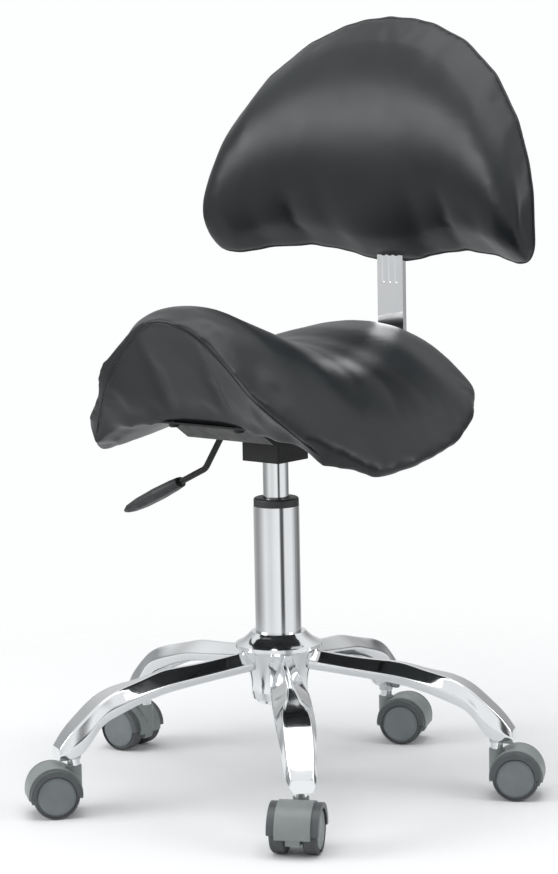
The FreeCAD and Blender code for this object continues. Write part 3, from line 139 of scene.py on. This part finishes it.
tree.links.new(ground.outputs["Color"], mirrored.inputs["Color"])
mirrored.inputs["Strength"].default_value = 0.95
soft_sky = tree.nodes.new("ShaderNodeBackground")
soft_sky.inputs["Color"].default_value = (0.97, 0.985, 1.0, 1)
soft_sky.inputs["Strength"].default_value = 0.52
white = tree.nodes.new("ShaderNodeBackground")
white.inputs["Color"].default_value = (0.985, 0.99, 0.992, 1)
paths = tree.nodes.new("ShaderNodeLightPath")
by_gloss = tree.nodes.new("ShaderNodeMixShader")
tree.links.new(paths.outputs["Is Glossy Ray"], by_gloss.inputs["Fac"])
tree.links.new(soft_sky.outputs[0], by_gloss.inputs[1])
tree.links.new(mirrored.outputs[0], by_gloss.inputs[2])
by_eye = tree.nodes.new("ShaderNodeMixShader")
tree.links.new(paths.outputs["Is Camera Ray"], by_eye.inputs["Fac"])
tree.links.new(by_gloss.outputs[0], by_eye.inputs[1])
tree.links.new(white.outputs[0], by_eye.inputs[2])
world_out = tree.nodes.new("ShaderNodeOutputWorld")
tree.links.new(by_eye.outputs[0], world_out.inputs["Surface"])


def softbox(name, spot, goal, wide, high, watts):
    """A rectangular studio light at spot, facing goal."""
    lamp = bpy.data.lights.new(name, "AREA")
    lamp.shape = "RECTANGLE"
    lamp.size, lamp.size_y = wide, high
    lamp.energy = watts
    thing = bpy.data.objects.new(name, lamp)
    bpy.context.scene.collection.objects.link(thing)
    thing.location = spot
    thing.rotation_euler = (Vector(goal) - Vector(spot)).to_track_quat("-Z", "Y").to_euler()
    return thing


# Lights: a broad one overhead, one at the sitter's right front and a weak fill from the left.
softbox("top_light", (0.2, -0.3, 3.1), (0, 0, 0.3), 2.6, 2.6, 46)
softbox("front_light", (-1.9, -2.5, 1.55), (0, 0, 0.6), 1.8, 1.7, 50)
softbox("side_light", (3.0, 0.8, 1.6), (0, 0, 0.45), 1.2, 1.8, 20)


def surface(name, base, rough, metal=0.0):
    """A new material with a principled shader, object coordinates and its own node tree."""
    material = bpy.data.materials.new(name)
    material.use_nodes = True
    shader = material.node_tree.nodes["Principled BSDF"]
    shader.inputs["Base Color"].default_value = (*base, 1)
    shader.inputs["Roughness"].default_value = rough
    shader.inputs["Metallic"].default_value = metal
    coordinates = material.node_tree.nodes.new("ShaderNodeTexCoord")
    return material, shader, coordinates.outputs["Object"]


def noise(material, where, scale, detail=3.0):
    """Noise over the object, in cycles per metre."""
    texture = material.node_tree.nodes.new("ShaderNodeTexNoise")
    texture.inputs["Scale"].default_value = scale
    texture.inputs["Detail"].default_value = detail
    material.node_tree.links.new(where, texture.inputs["Vector"])
    return texture.outputs["Fac"]


def cells(material, where, scale, feature="F1"):
    """Cell texture over the object: pebbles for F1, the creases between them for DISTANCE_TO_EDGE."""
    texture = material.node_tree.nodes.new("ShaderNodeTexVoronoi")
    texture.feature = feature
    texture.inputs["Scale"].default_value = scale
    material.node_tree.links.new(where, texture.inputs["Vector"])
    return texture.outputs["Distance"]


def ranged(material, value, low, high, start=0.3, end=0.7):
    """Maps a texture's value between start and end to the range from low to high."""
    node = material.node_tree.nodes.new("ShaderNodeMapRange")
    for key, number in (("From Min", start), ("From Max", end), ("To Min", low), ("To Max", high)):
        node.inputs[key].default_value = number
    material.node_tree.links.new(value, node.inputs["Value"])
    return node.outputs[0]


def tinted(material, value, dark, light):
    """Colour between two shades by a value from 0 to 1."""
    node = material.node_tree.nodes.new("ShaderNodeMixRGB")
    node.inputs["Color1"].default_value = (*dark, 1)
    node.inputs["Color2"].default_value = (*light, 1)
    material.node_tree.links.new(value, node.inputs["Fac"])
    return node.outputs[0]


def bumped(material, heights):
    """Stacks bumps, each a (height, strength, distance in metres), and returns the last normal."""
    normal = None
    for value, strength, distance in heights:
        bump = material.node_tree.nodes.new("ShaderNodeBump")
        bump.inputs["Strength"].default_value = strength
        bump.inputs["Distance"].default_value = distance
        material.node_tree.links.new(value, bump.inputs["Height"])
        if normal is not None:
            material.node_tree.links.new(normal, bump.inputs["Normal"])
        normal = bump.outputs[0]
    return normal


def wire(material, value, socket):
    shader = material.node_tree.nodes["Principled BSDF"]
    material.node_tree.links.new(value, shader.inputs[socket])


def dress(nodes, material):
    """Gives carried-over solids their material."""
    for node in nodes:
        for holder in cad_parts[node].material_slots:
            holder.material = material


# Chrome: base, column, gas spring and back bar. Polished plating with faint wiping marks.
chrome, shader, where = surface("chrome_plate", (0.80, 0.815, 0.825), 0.07, 1.0)
wire(chrome, ranged(chrome, noise(chrome, where, 38.0, 5.0), 0.035, 0.13), "Roughness")
wire(chrome, tinted(chrome, ranged(chrome, noise(chrome, where, 9.0), 0.0, 1.0),
                    (0.76, 0.775, 0.785), (0.84, 0.85, 0.86)), "Base Color")
wire(chrome, bumped(chrome, [(noise(chrome, where, 55.0, 2.0), 0.05, 0.0006)]), "Normal")
dress(["base_hub", "column_tube", "gas_cylinder", "back_bar", "castor_stems"], chrome)

# Star base arms: pressed and polished, a ridge near the hub that opens into a flat face past the
# bend, hollow underneath. Each row: place along the arm, height of top and underside above the
# arm's tip, half width of the top face and of the waist.
tip_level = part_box("castor_sockets")[0].z
base_turn, arm_step = -45.3, 72.0
arm_rows = np.array([
    (0.0340, 0.0953, 0.0753, 0.0020, 0.0150), (0.0920, 0.0878, 0.0683, 0.0025, 0.0180),
    (0.1350, 0.0843, 0.0623, 0.0030, 0.0210), (0.1649, 0.0763, 0.0543, 0.0070, 0.0215),
    (0.1900, 0.0705, 0.0445, 0.0130, 0.0215), (0.2115, 0.0605, 0.0345, 0.0150, 0.0200),
    (0.2318, 0.0425, 0.0045, 0.0150, 0.0180), (0.2498, 0.0260, 0.0000, 0.0130, 0.0170),
    (0.2580, 0.0135, 0.0000, 0.0110, 0.0130)])


def smooth_rows(rows, count):
    """Rows at even places along the first column, the rest by a cubic through each pair with
    slopes limited so that it never overshoots."""
    x = rows[:, 0]
    wanted = np.linspace(x[0], x[-1], count)
    run = np.diff(x)[:, None]
    slope = np.diff(rows[:, 1:], axis=0) / run
    inner = np.where(slope[:-1] * slope[1:] > 0,
                     2 * slope[:-1] * slope[1:] / (slope[:-1] + slope[1:] + 1e-12), 0.0)
    tangent = np.concatenate([slope[:1], inner, slope[-1:]])
    at = np.clip(np.searchsorted(x, wanted, "right") - 1, 0, len(x) - 2)
    t = ((wanted - x[at]) / np.diff(x)[at])[:, None]
    step = np.diff(x)[at][:, None]
    values = ((2 * t ** 3 - 3 * t ** 2 + 1) * rows[at, 1:] + (t ** 3 - 2 * t ** 2 + t) * step * tangent[at]
              + (3 * t ** 2 - 2 * t ** 3) * rows[at + 1, 1:] + (t ** 3 - t ** 2) * step * tangent[at + 1])
    return np.concatenate([wanted[:, None], values], 1)


def eased_rows(rows, rounds):
    """The same rows with each moved towards the mean of its neighbours, the end rows kept."""
    for _ in range(rounds):
        rows[1:-1, 1:] = rows[1:-1, 1:] * 0.5 + (rows[:-2, 1:] + rows[2:, 1:]) * 0.25
    return rows


def arm_mesh(name, angle):
    """One arm: rings along its length. Ten corners run round the underside with its channel, the
    waist and the narrow or wide top face. Each corner is cut back along both of its edges and
    rounded through their middle, with one more point further out on either side, which keeps the
    faces between the corners flat."""
    reach, top, low, ridge, girth = eased_rows(smooth_rows(arm_rows, 72), 10).T
    waist = low + (top - low) * 0.45
    foot = girth * 0.72
    depth = 0.0004 + 0.0066 * np.clip((reach - 0.088) / 0.012, 0, 1) * np.clip((0.2115 - reach) / 0.012, 0, 1)
    wall = foot - 0.004
    low_in = low + depth
    profile = [(-foot, low), (-wall, low), (-wall, low_in), (wall, low_in), (wall, low), (foot, low),
               (girth, waist), (ridge, top), (-ridge, top), (-girth, waist)]
    corners = np.stack([np.stack(np.broadcast_arrays(side, level), 1) for side, level in profile], 1)
    onward = np.roll(corners, -1, 1) - corners
    length = np.linalg.norm(onward, axis=2, keepdims=True)
    ahead_of = onward / length
    behind, before = np.roll(ahead_of, 1, 1), np.roll(length, 1, 1)
    near_in, far_in = np.minimum(0.0014, 0.22 * before), np.minimum(0.0036, 0.42 * before)
    near_out, far_out = np.minimum(0.0014, 0.22 * length), np.minimum(0.0036, 0.42 * length)
    first, last_cut = corners - behind * near_in, corners + ahead_of * near_out
    outline = np.stack([corners - behind * far_in, first, 0.25 * first + 0.5 * corners + 0.25 * last_cut,
                        last_cut, corners + ahead_of * far_out], 2)
    sides = outline.shape[1] * outline.shape[2]
    outline = outline.reshape(len(reach), sides, 2)
    out_along = np.repeat(reach[:, None], sides, 1)
    turned = np.stack([out_along * math.cos(angle) - outline[..., 0] * math.sin(angle),
                       out_along * math.sin(angle) + outline[..., 0] * math.cos(angle),
                       outline[..., 1] + tip_level], 2)
    row = np.arange(len(reach) - 1)[:, None] * sides
    one = np.arange(sides)[None]
    two = (one + 1) % sides
    faces = np.stack([row + one, row + sides + one, row + sides + two, row + two], -1).reshape(-1, 4)
    last = (len(reach) - 1) * sides
    ends = [tuple(range(sides)), tuple(range(last + sides - 1, last - 1, -1))]
    mesh = bpy.data.meshes.new(name)
    mesh.from_pydata(turned.reshape(-1, 3).tolist(), [], faces.tolist() + ends)
    mesh.materials.append(chrome)
    smooth = np.ones(len(mesh.polygons), bool)
    smooth[-2:] = False
    mesh.polygons.foreach_set("use_smooth", smooth)
    thing = bpy.data.objects.new(name, mesh)
    bpy.context.scene.collection.objects.link(thing)
    return thing


for index in range(5):
    arm = arm_mesh(f"star_arm_{index + 1}", math.radians(base_turn + arm_step * index))
    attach(arm, "base")
    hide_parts(f"base_arm_{index + 1}")

# Bright zinc: pins, screws and the parts inside the column.
zinc, shader, where = surface("zinc_plate", (0.56, 0.57, 0.58), 0.35, 1.0)
wire(zinc, ranged(zinc, noise(zinc, where, 160.0, 4.0), 0.24, 0.48), "Roughness")
wire(zinc, tinted(zinc, ranged(zinc, noise(zinc, where, 60.0), 0.0, 1.0),
                  (0.50, 0.51, 0.52), (0.62, 0.63, 0.64)), "Base Color")
dress([f"castor_{n}_axle" for n in range(1, 6)]
      + ["castor_sockets", "thrust_bearing", "piston_rod", "column_clip", "release_button",
         "lever_pin", "back_sleeve", "backrest_screws"], zinc)

# Black enamel: the pressed pan, the taper block and the lever's rod, with orange-peel texture.
enamel, shader, where = surface("black_enamel", (0.010, 0.010, 0.011), 0.40)
wire(enamel, ranged(enamel, noise(enamel, where, 90.0, 4.0), 0.34, 0.52), "Roughness")
shader.inputs["Specular IOR Level"].default_value = 0.35
wire(enamel, tinted(enamel, ranged(enamel, noise(enamel, where, 25.0), 0.0, 1.0),
                    (0.007, 0.007, 0.008), (0.014, 0.014, 0.015)), "Base Color")
wire(enamel, bumped(enamel, [(noise(enamel, where, 420.0, 2.0), 0.18, 0.0002)]), "Normal")
dress(["mechanism_pan", "taper_socket", "lever_rod", "seat_bolts"], enamel)

# Black moulded plastic: column ring, lever grip, clamp knob and the hidden back rest shell.
moulded, shader, where = surface("black_plastic", (0.026, 0.027, 0.028), 0.48)
wire(moulded, ranged(moulded, noise(moulded, where, 70.0, 4.0), 0.40, 0.58), "Roughness")
wire(moulded, tinted(moulded, ranged(moulded, noise(moulded, where, 18.0), 0.0, 1.0),
                     (0.020, 0.021, 0.022), (0.034, 0.035, 0.037)), "Base Color")
wire(moulded, bumped(moulded, [(cells(moulded, where, 1500.0), 0.22, 0.0002)]), "Normal")
dress(["column_bush", "lever_grip", "bar_knob", "backrest_shell"], moulded)

# Castors: grey moulded hood with painted shade on its side faces over the wheels, dark treads and grey caps.
castor_headings = (-62.0, 30.0, 25.0, -174.0, -128.0)
hood_half_width = 0.0186
stem_circle = 0.239
tread, shader, where = surface("castor_tread", (0.055, 0.060, 0.062), 0.62)
wire(tread, ranged(tread, noise(tread, where, 60.0, 4.0), 0.52, 0.74), "Roughness")
wire(tread, tinted(tread, ranged(tread, noise(tread, where, 45.0, 5.0), 0.0, 1.0),
                   (0.040, 0.044, 0.046), (0.075, 0.080, 0.082)), "Base Color")
wire(tread, bumped(tread, [(noise(tread, where, 900.0, 2.0), 0.15, 0.0002)]), "Normal")
cap_grey, shader, where = surface("castor_cap_grey", (0.155, 0.175, 0.18), 0.42)
wire(cap_grey, ranged(cap_grey, noise(cap_grey, where, 80.0, 4.0), 0.34, 0.52), "Roughness")
wire(cap_grey, tinted(cap_grey, ranged(cap_grey, noise(cap_grey, where, 30.0), 0.0, 1.0),
                      (0.135, 0.155, 0.16), (0.18, 0.20, 0.205)), "Base Color")
wire(cap_grey, bumped(cap_grey, [(noise(cap_grey, where, 1200.0, 2.0), 0.12, 0.0002)]), "Normal")
for index, heading in enumerate(castor_headings):
    number = index + 1
    stem_angle = math.radians(base_turn + arm_step * index)
    stem = Vector((stem_circle * math.cos(stem_angle), stem_circle * math.sin(stem_angle), 0))
    across = Vector((-math.sin(math.radians(heading)), math.cos(math.radians(heading)), 0))
    hood, shader, where = surface(f"castor_hood_{number}", (0.21, 0.235, 0.23), 0.40)
    links = hood.node_tree.links
    sideways = hood.node_tree.nodes.new("ShaderNodeVectorMath")
    sideways.operation = "DOT_PRODUCT"
    sideways.inputs[1].default_value = across
    links.new(where, sideways.inputs[0])
    centred = hood.node_tree.nodes.new("ShaderNodeMath")
    centred.operation = "SUBTRACT"
    centred.inputs[1].default_value = stem.dot(across)
    links.new(sideways.outputs["Value"], centred.inputs[0])
    far = hood.node_tree.nodes.new("ShaderNodeMath")
    far.operation = "ABSOLUTE"
    links.new(centred.outputs[0], far.inputs[0])
    # Painted shade: past the hood's half width from the castor's middle, its side faces take a dark colour
    # that stands in for their shadow.
    painted_side_shade = ranged(hood, far.outputs[0], 0.0, 1.0, hood_half_width, hood_half_width + 0.0003)
    mottle = ranged(hood, noise(hood, where, 30.0), 0.0, 1.0)
    light_part = tinted(hood, mottle, (0.185, 0.21, 0.205), (0.235, 0.26, 0.255))
    # This dark colour is painted shade for the hood's side faces.
    side_shade_colour = tinted(hood, mottle, (0.058, 0.064, 0.067), (0.082, 0.09, 0.093))
    both = hood.node_tree.nodes.new("ShaderNodeMixRGB")
    links.new(painted_side_shade, both.inputs["Fac"])
    links.new(light_part, both.inputs["Color1"])
    links.new(side_shade_colour, both.inputs["Color2"])
    wire(hood, both.outputs[0], "Base Color")
    wire(hood, ranged(hood, noise(hood, where, 80.0, 4.0), 0.34, 0.50), "Roughness")
    wire(hood, bumped(hood, [(noise(hood, where, 1200.0, 2.0), 0.12, 0.0002)]), "Normal")
    dress([f"castor_{number}_body"], hood)
    dress([f"castor_{number}_wheel_left", f"castor_{number}_wheel_right"], tread)
    dress([f"castor_{number}_cap_left", f"castor_{number}_cap_right"], cap_grey)

# Leather cover: black synthetic leather with a fine pebble grain, soft folds and a satin sheen.
leather, shader, where = surface("black_leather", (0.008, 0.009, 0.010), 0.40)
shader.inputs["Specular IOR Level"].default_value = 0.42
shader.inputs["Sheen Weight"].default_value = 0.03
shader.inputs["Sheen Roughness"].default_value = 0.4
wire(leather, ranged(leather, noise(leather, where, 14.0, 6.0), 0.32, 0.44), "Roughness")
wire(leather, tinted(leather, ranged(leather, noise(leather, where, 7.0, 5.0), 0.0, 1.0),
                     (0.0060, 0.0078, 0.0092), (0.0105, 0.0136, 0.0160)), "Base Color")
wire(leather, bumped(leather, [
    (noise(leather, where, 14.0, 2.0), 0.04, 0.0025),
    (cells(leather, where, 620.0, "DISTANCE_TO_EDGE"), 0.20, 0.0003),
    (noise(leather, where, 1500.0, 2.0), 0.10, 0.0002),
]), "Normal")

# Thread: dark polyester, a little lighter than the leather.
thread, shader, where = surface("dark_thread", (0.045, 0.048, 0.052), 0.55)
wire(thread, tinted(thread, ranged(thread, noise(thread, where, 900.0), 0.0, 1.0),
                    (0.035, 0.038, 0.041), (0.06, 0.064, 0.068)), "Base Color")


def relaxed(points, edges, free, rounds):
    """Smooths points over their neighbours without shrinking: each round moves every point half way
    to its neighbours' middle and then a little further back, as far as it is free."""
    count = np.bincount(edges.ravel(), minlength=len(points))[:, None]
    ends = np.concatenate([edges[:, 0], edges[:, 1]])
    others = np.concatenate([edges[:, 1], edges[:, 0]])
    for _ in range(rounds):
        for step in (0.5, -0.512):
            middle = np.stack([np.bincount(ends, points[others, axis], len(points))
                               for axis in range(3)], 1) / count
            points = points + step * free[:, None] * (middle - points)
    return points


def points_of(mesh):
    points = np.empty(len(mesh.vertices) * 3)
    mesh.vertices.foreach_get("co", points)
    return points.reshape(-1, 3)


def from_curve(points, line):
    """Distance from each point to the nearest of the line's straight runs."""
    best = np.full(len(points), 1e9)
    for start, end in zip(line, line[1:]):
        run = end - start
        part = np.clip((points - start) @ run / (run @ run), 0, 1)
        gap = np.linalg.norm(points - start - part[:, None] * run, axis=1)
        best = np.minimum(best, gap)
    return best


def cushion(name, nodes, voxel, edge_line, edge_width, swell, rounds):
    """A padded piece from the CAD forms of these nodes, joined into one: remeshed finely, smoothed
    and padded so that thin lips keep a round edge, remeshed at voxel, smoothed away from its sewn
    edge, blown up as cloth by at most swell, and subdivided once."""
    form = bmesh.new()
    for node in nodes:
        form.from_mesh(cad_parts[node].data)
    bmesh.ops.remove_doubles(form, verts=form.verts, dist=1e-6)
    mesh = bpy.data.meshes.new(name)
    form.to_mesh(mesh)
    form.free()
    piece = bpy.data.objects.new(name, mesh)
    bpy.context.scene.collection.objects.link(piece)
    puff, kept_puff = 0.0030, 0.0008
    for size, passes, pad in ((0.0020, 70, puff), (voxel, rounds, kept_puff - puff)):
        remesh = piece.modifiers.new("Remesh", "REMESH")
        remesh.mode = "VOXEL"
        remesh.voxel_size = size
        graph = bpy.context.evaluated_depsgraph_get()
        solid = bpy.data.meshes.new_from_object(piece.evaluated_get(graph))
        piece.modifiers.clear()
        piece.data = solid
        edges = np.empty(len(solid.edges) * 2, int)
        solid.edges.foreach_get("vertices", edges)
        edges = edges.reshape(-1, 2)
        points = points_of(solid)
        free = np.clip(from_curve(points, edge_line) / edge_width, 0.5, 1.0)
        points = relaxed(points, edges, free, passes)
        solid.vertices.foreach_set("co", points.ravel())
        solid.update()
        outward = np.empty(len(solid.vertices) * 3)
        solid.vertices.foreach_get("normal", outward)
        points = points + pad * outward.reshape(-1, 3)
        solid.vertices.foreach_set("co", points.ravel())
        solid.update()
    cloth = piece.modifiers.new("Cloth", "CLOTH")
    cloth.settings.use_pressure = True
    cloth.settings.uniform_pressure_force = 4.0
    cloth.settings.effector_weights.gravity = 0.0
    cloth.settings.quality = 5
    cloth.point_cache.frame_start = 1
    cloth.point_cache.frame_end = 20
    for moment in range(1, 21):
        bpy.context.scene.frame_set(moment)
    graph = bpy.context.evaluated_depsgraph_get()
    blown = bpy.data.meshes.new_from_object(piece.evaluated_get(graph))
    moved = points_of(blown) - points
    length = np.linalg.norm(moved, axis=1)
    limit = swell * np.clip(from_curve(points, edge_line) / (3 * edge_width), 0.1, 1.0)
    moved *= (np.minimum(length, limit) / np.maximum(length, 1e-9))[:, None]
    piece.modifiers.clear()
    bpy.context.scene.frame_set(1)
    points = relaxed(points + moved, edges, free, 6)
    solid.vertices.foreach_set("co", points.ravel())
    finer = piece.modifiers.new("Subdivision", "SUBSURF")
    finer.levels = finer.render_levels = 1
    graph = bpy.context.evaluated_depsgraph_get()
    done = bpy.data.meshes.new_from_object(piece.evaluated_get(graph))
    piece.modifiers.clear()
    piece.data = done
    done.materials.clear()
    done.materials.append(leather)
    done.polygons.foreach_set("use_smooth", np.ones(len(done.polygons), bool))
    return piece


def on_surface(piece, line, lift):
    """The line's points laid on the piece's surface, lifted off it by a small height, with the
    surface's normals there."""
    tree = BVHTree.FromObject(piece, bpy.context.evaluated_depsgraph_get())
    spots, normals = [], []
    for point in line:
        spot, normal, _, _ = tree.find_nearest(Vector(point))
        spots.append(np.array(spot) + np.array(normal) * lift)
        normals.append(np.array(normal))
    return np.array(spots), np.array(normals)


def even(line, step):
    """The same line with its points a step apart."""
    runs = np.linalg.norm(np.diff(line, axis=0), axis=1)
    along = np.concatenate([[0], np.cumsum(runs)])
    places = np.linspace(0, along[-1], max(int(along[-1] / step), 2) + 1)
    return np.stack([np.interp(places, along, line[:, axis]) for axis in range(3)], 1)


def eased(line, rounds):
    """The same line with its corners smoothed and its ends kept."""
    line = line.copy()
    for _ in range(rounds):
        line[1:-1] = line[1:-1] * 0.5 + (line[:-2] + line[2:]) * 0.25
    return line


def cord_mesh(name, line, radius, sides, material):
    """A thin tube along a line: circles of points across the line's direction, joined in rings and
    closed at both ends."""
    ahead = np.gradient(line, axis=0)
    ahead /= np.linalg.norm(ahead, axis=1)[:, None]
    first = np.cross(ahead, np.array([0.31, 0.47, 0.83]))
    first /= np.linalg.norm(first, axis=1)[:, None]
    second = np.cross(ahead, first)
    angle = np.linspace(0, 2 * math.pi, sides, endpoint=False)
    ring = first[:, None] * np.cos(angle)[None, :, None] + second[:, None] * np.sin(angle)[None, :, None]
    points = (line[:, None] + radius * ring).reshape(-1, 3)
    row = np.arange(len(line) - 1)[:, None] * sides
    one = np.arange(sides)[None]
    two = (one + 1) % sides
    faces = np.stack([row + one, row + two, row + sides + two, row + sides + one], -1).reshape(-1, 4)
    mesh = bpy.data.meshes.new(name)
    caps = [tuple(range(sides))[::-1], tuple(range(len(points) - sides, len(points)))]
    mesh.from_pydata(points.tolist(), [], faces.tolist() + caps)
    mesh.materials.append(material)
    mesh.polygons.foreach_set("use_smooth", np.ones(len(mesh.polygons), bool))
    thing = bpy.data.objects.new(name, mesh)
    bpy.context.scene.collection.objects.link(thing)
    return thing


def stitches(name, line, normals, length, pitch, radius):
    """Single stitches along a line: spindles with six sides, each a stitch long and a pitch apart."""
    runs = np.linalg.norm(np.diff(line, axis=0), axis=1)
    along = np.concatenate([[0], np.cumsum(runs)])
    middles = np.arange(pitch, along[-1] - pitch, pitch)

    def at(table, places):
        return np.stack([np.interp(places, along, table[:, axis]) for axis in range(3)], 1)

    start, end = at(line, middles - length / 2), at(line, middles + length / 2)
    out = at(normals, middles)
    way = (end - start) / np.linalg.norm(end - start, axis=1)[:, None]
    beside = np.cross(way, out)
    beside /= np.linalg.norm(beside, axis=1)[:, None]
    above = np.cross(beside, way)
    angle = np.linspace(0, 2 * math.pi, 6, endpoint=False)
    rings = []
    for share, girth in ((0.0, 0.25), (0.2, 0.9), (0.5, 1.0), (0.8, 0.9), (1.0, 0.25)):
        centre = start + share * (end - start)
        round_it = (beside[:, None] * np.cos(angle)[None, :, None]
                    + above[:, None] * np.sin(angle)[None, :, None])
        rings.append(centre[:, None] + radius * girth * round_it)
    points = np.stack(rings, 1).reshape(-1, 3)
    base = (np.arange(len(middles)) * 30)[:, None, None]
    ring = (np.arange(4) * 6)[None, :, None]
    one = np.arange(6)[None, None]
    two = (one + 1) % 6
    sides = np.stack([base + ring + one, base + ring + two, base + ring + 6 + two, base + ring + 6 + one],
                     -1).reshape(-1, 4)
    first = (np.arange(len(middles)) * 30)[:, None] + np.arange(6)[::-1][None]
    last = (np.arange(len(middles)) * 30 + 24)[:, None] + np.arange(6)[None]
    mesh = bpy.data.meshes.new(name)
    mesh.from_pydata(points.tolist(), [], sides.tolist() + first.tolist() + last.tolist())
    mesh.materials.append(thread)
    mesh.polygons.foreach_set("use_smooth", np.ones(len(mesh.polygons), bool))
    thing = bpy.data.objects.new(name, mesh)
    bpy.context.scene.collection.objects.link(thing)
    return thing


# Saddle cushion: foam under one leather cover, sewn along the arch to a scooped front panel.
pan_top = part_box("mechanism_pan")[1].z
seat_seam_half = np.array([(0.0, -0.186, 0.114), (0.038, -0.177, 0.099), (0.070, -0.171, 0.072),
                           (0.109, -0.158, 0.025), (0.150, -0.124, -0.020), (0.1895, -0.086, -0.038)])
seat_seam = np.concatenate([seat_seam_half[:0:-1] * (-1, 1, 1), seat_seam_half]) + (0, 0, pan_top)
seat_seam = eased(even(seat_seam, 0.004), 14)
middle_seam = seat_seam[np.abs(seat_seam[:, 0]) < 0.085]
seat = cushion("saddle_cushion", ["seat_cushion", "seat_shell"], 0.0045, middle_seam, 0.014, 0.003, 150)
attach(seat, "seat")
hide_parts("seat_cushion", "seat_shell")

# Its sewn arch seam, with a line of top stitching on the cover behind it.
shown_seam = seat_seam[np.abs(seat_seam[:, 0]) < 0.168]
seam_line, _ = on_surface(seat, shown_seam, 0.0)
seam_line = eased(seam_line, 12)
ridge = cord_mesh("saddle_seam", seam_line, 0.0012, 8, leather)
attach(ridge, "seat")
stitch_line, stitch_out = on_surface(seat, shown_seam + (0, 0.0075, 0.0035), 0.0003)
stitching = stitches("saddle_stitching", eased(stitch_line, 8), stitch_out, 0.0038, 0.0056, 0.0005)
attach(stitching, "seat")

# Back rest cushion: a half-moon pad, its front cover sewn to the side band with a welt.
back_base = pan_top + 0.149
back_waist = back_base + 0.0457
back_half, back_crown, back_seam, back_wrap = 0.2274, 0.227, 0.2146, 0.0512
low_shares = (0.0, 0.14, 0.27, 0.48, 0.70, 0.865, 0.95, 0.985)
low_heights = (0.0, 0.002, 0.010, 0.016, 0.013, 0.006, 0.009, 0.022)
over = np.sin(np.linspace(-1, 1, 121) * math.asin(0.985))
under = np.linspace(0.985, -0.985, 81)[1:-1]
top_edge = back_waist + back_crown * np.sqrt(1 - over ** 2)
low_edge = back_base + np.interp(np.abs(under), low_shares, low_heights)
shares = np.concatenate([over, under])
welt = np.stack([shares * back_half, back_seam - back_wrap * np.abs(shares) ** 2.4,
                 np.concatenate([top_edge, low_edge])], 1)
welt = np.concatenate([welt, welt[:1]])
back = cushion("back_cushion", ["backrest_cushion"], 0.0045, welt, 0.012, 0.004, 70)
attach(back, "backrest")
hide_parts("backrest_cushion")
welt_line, _ = on_surface(back, eased(even(welt, 0.004), 6), 0.0002)
back_welt = cord_mesh("back_welt", eased(welt_line, 3), 0.0016, 8, leather)
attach(back_welt, "backrest")

# Rear panel: the leather-covered board that closes the back rest, its cover pulled round the
# board's edge over a thin layer of foam.
panel = cushion("rear_panel_cover", ["backrest_rear_panel"], 0.0040, welt - (0, 0.02, 0), 0.010, 0.002, 12)
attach(panel, "backrest")
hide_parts("backrest_rear_panel")
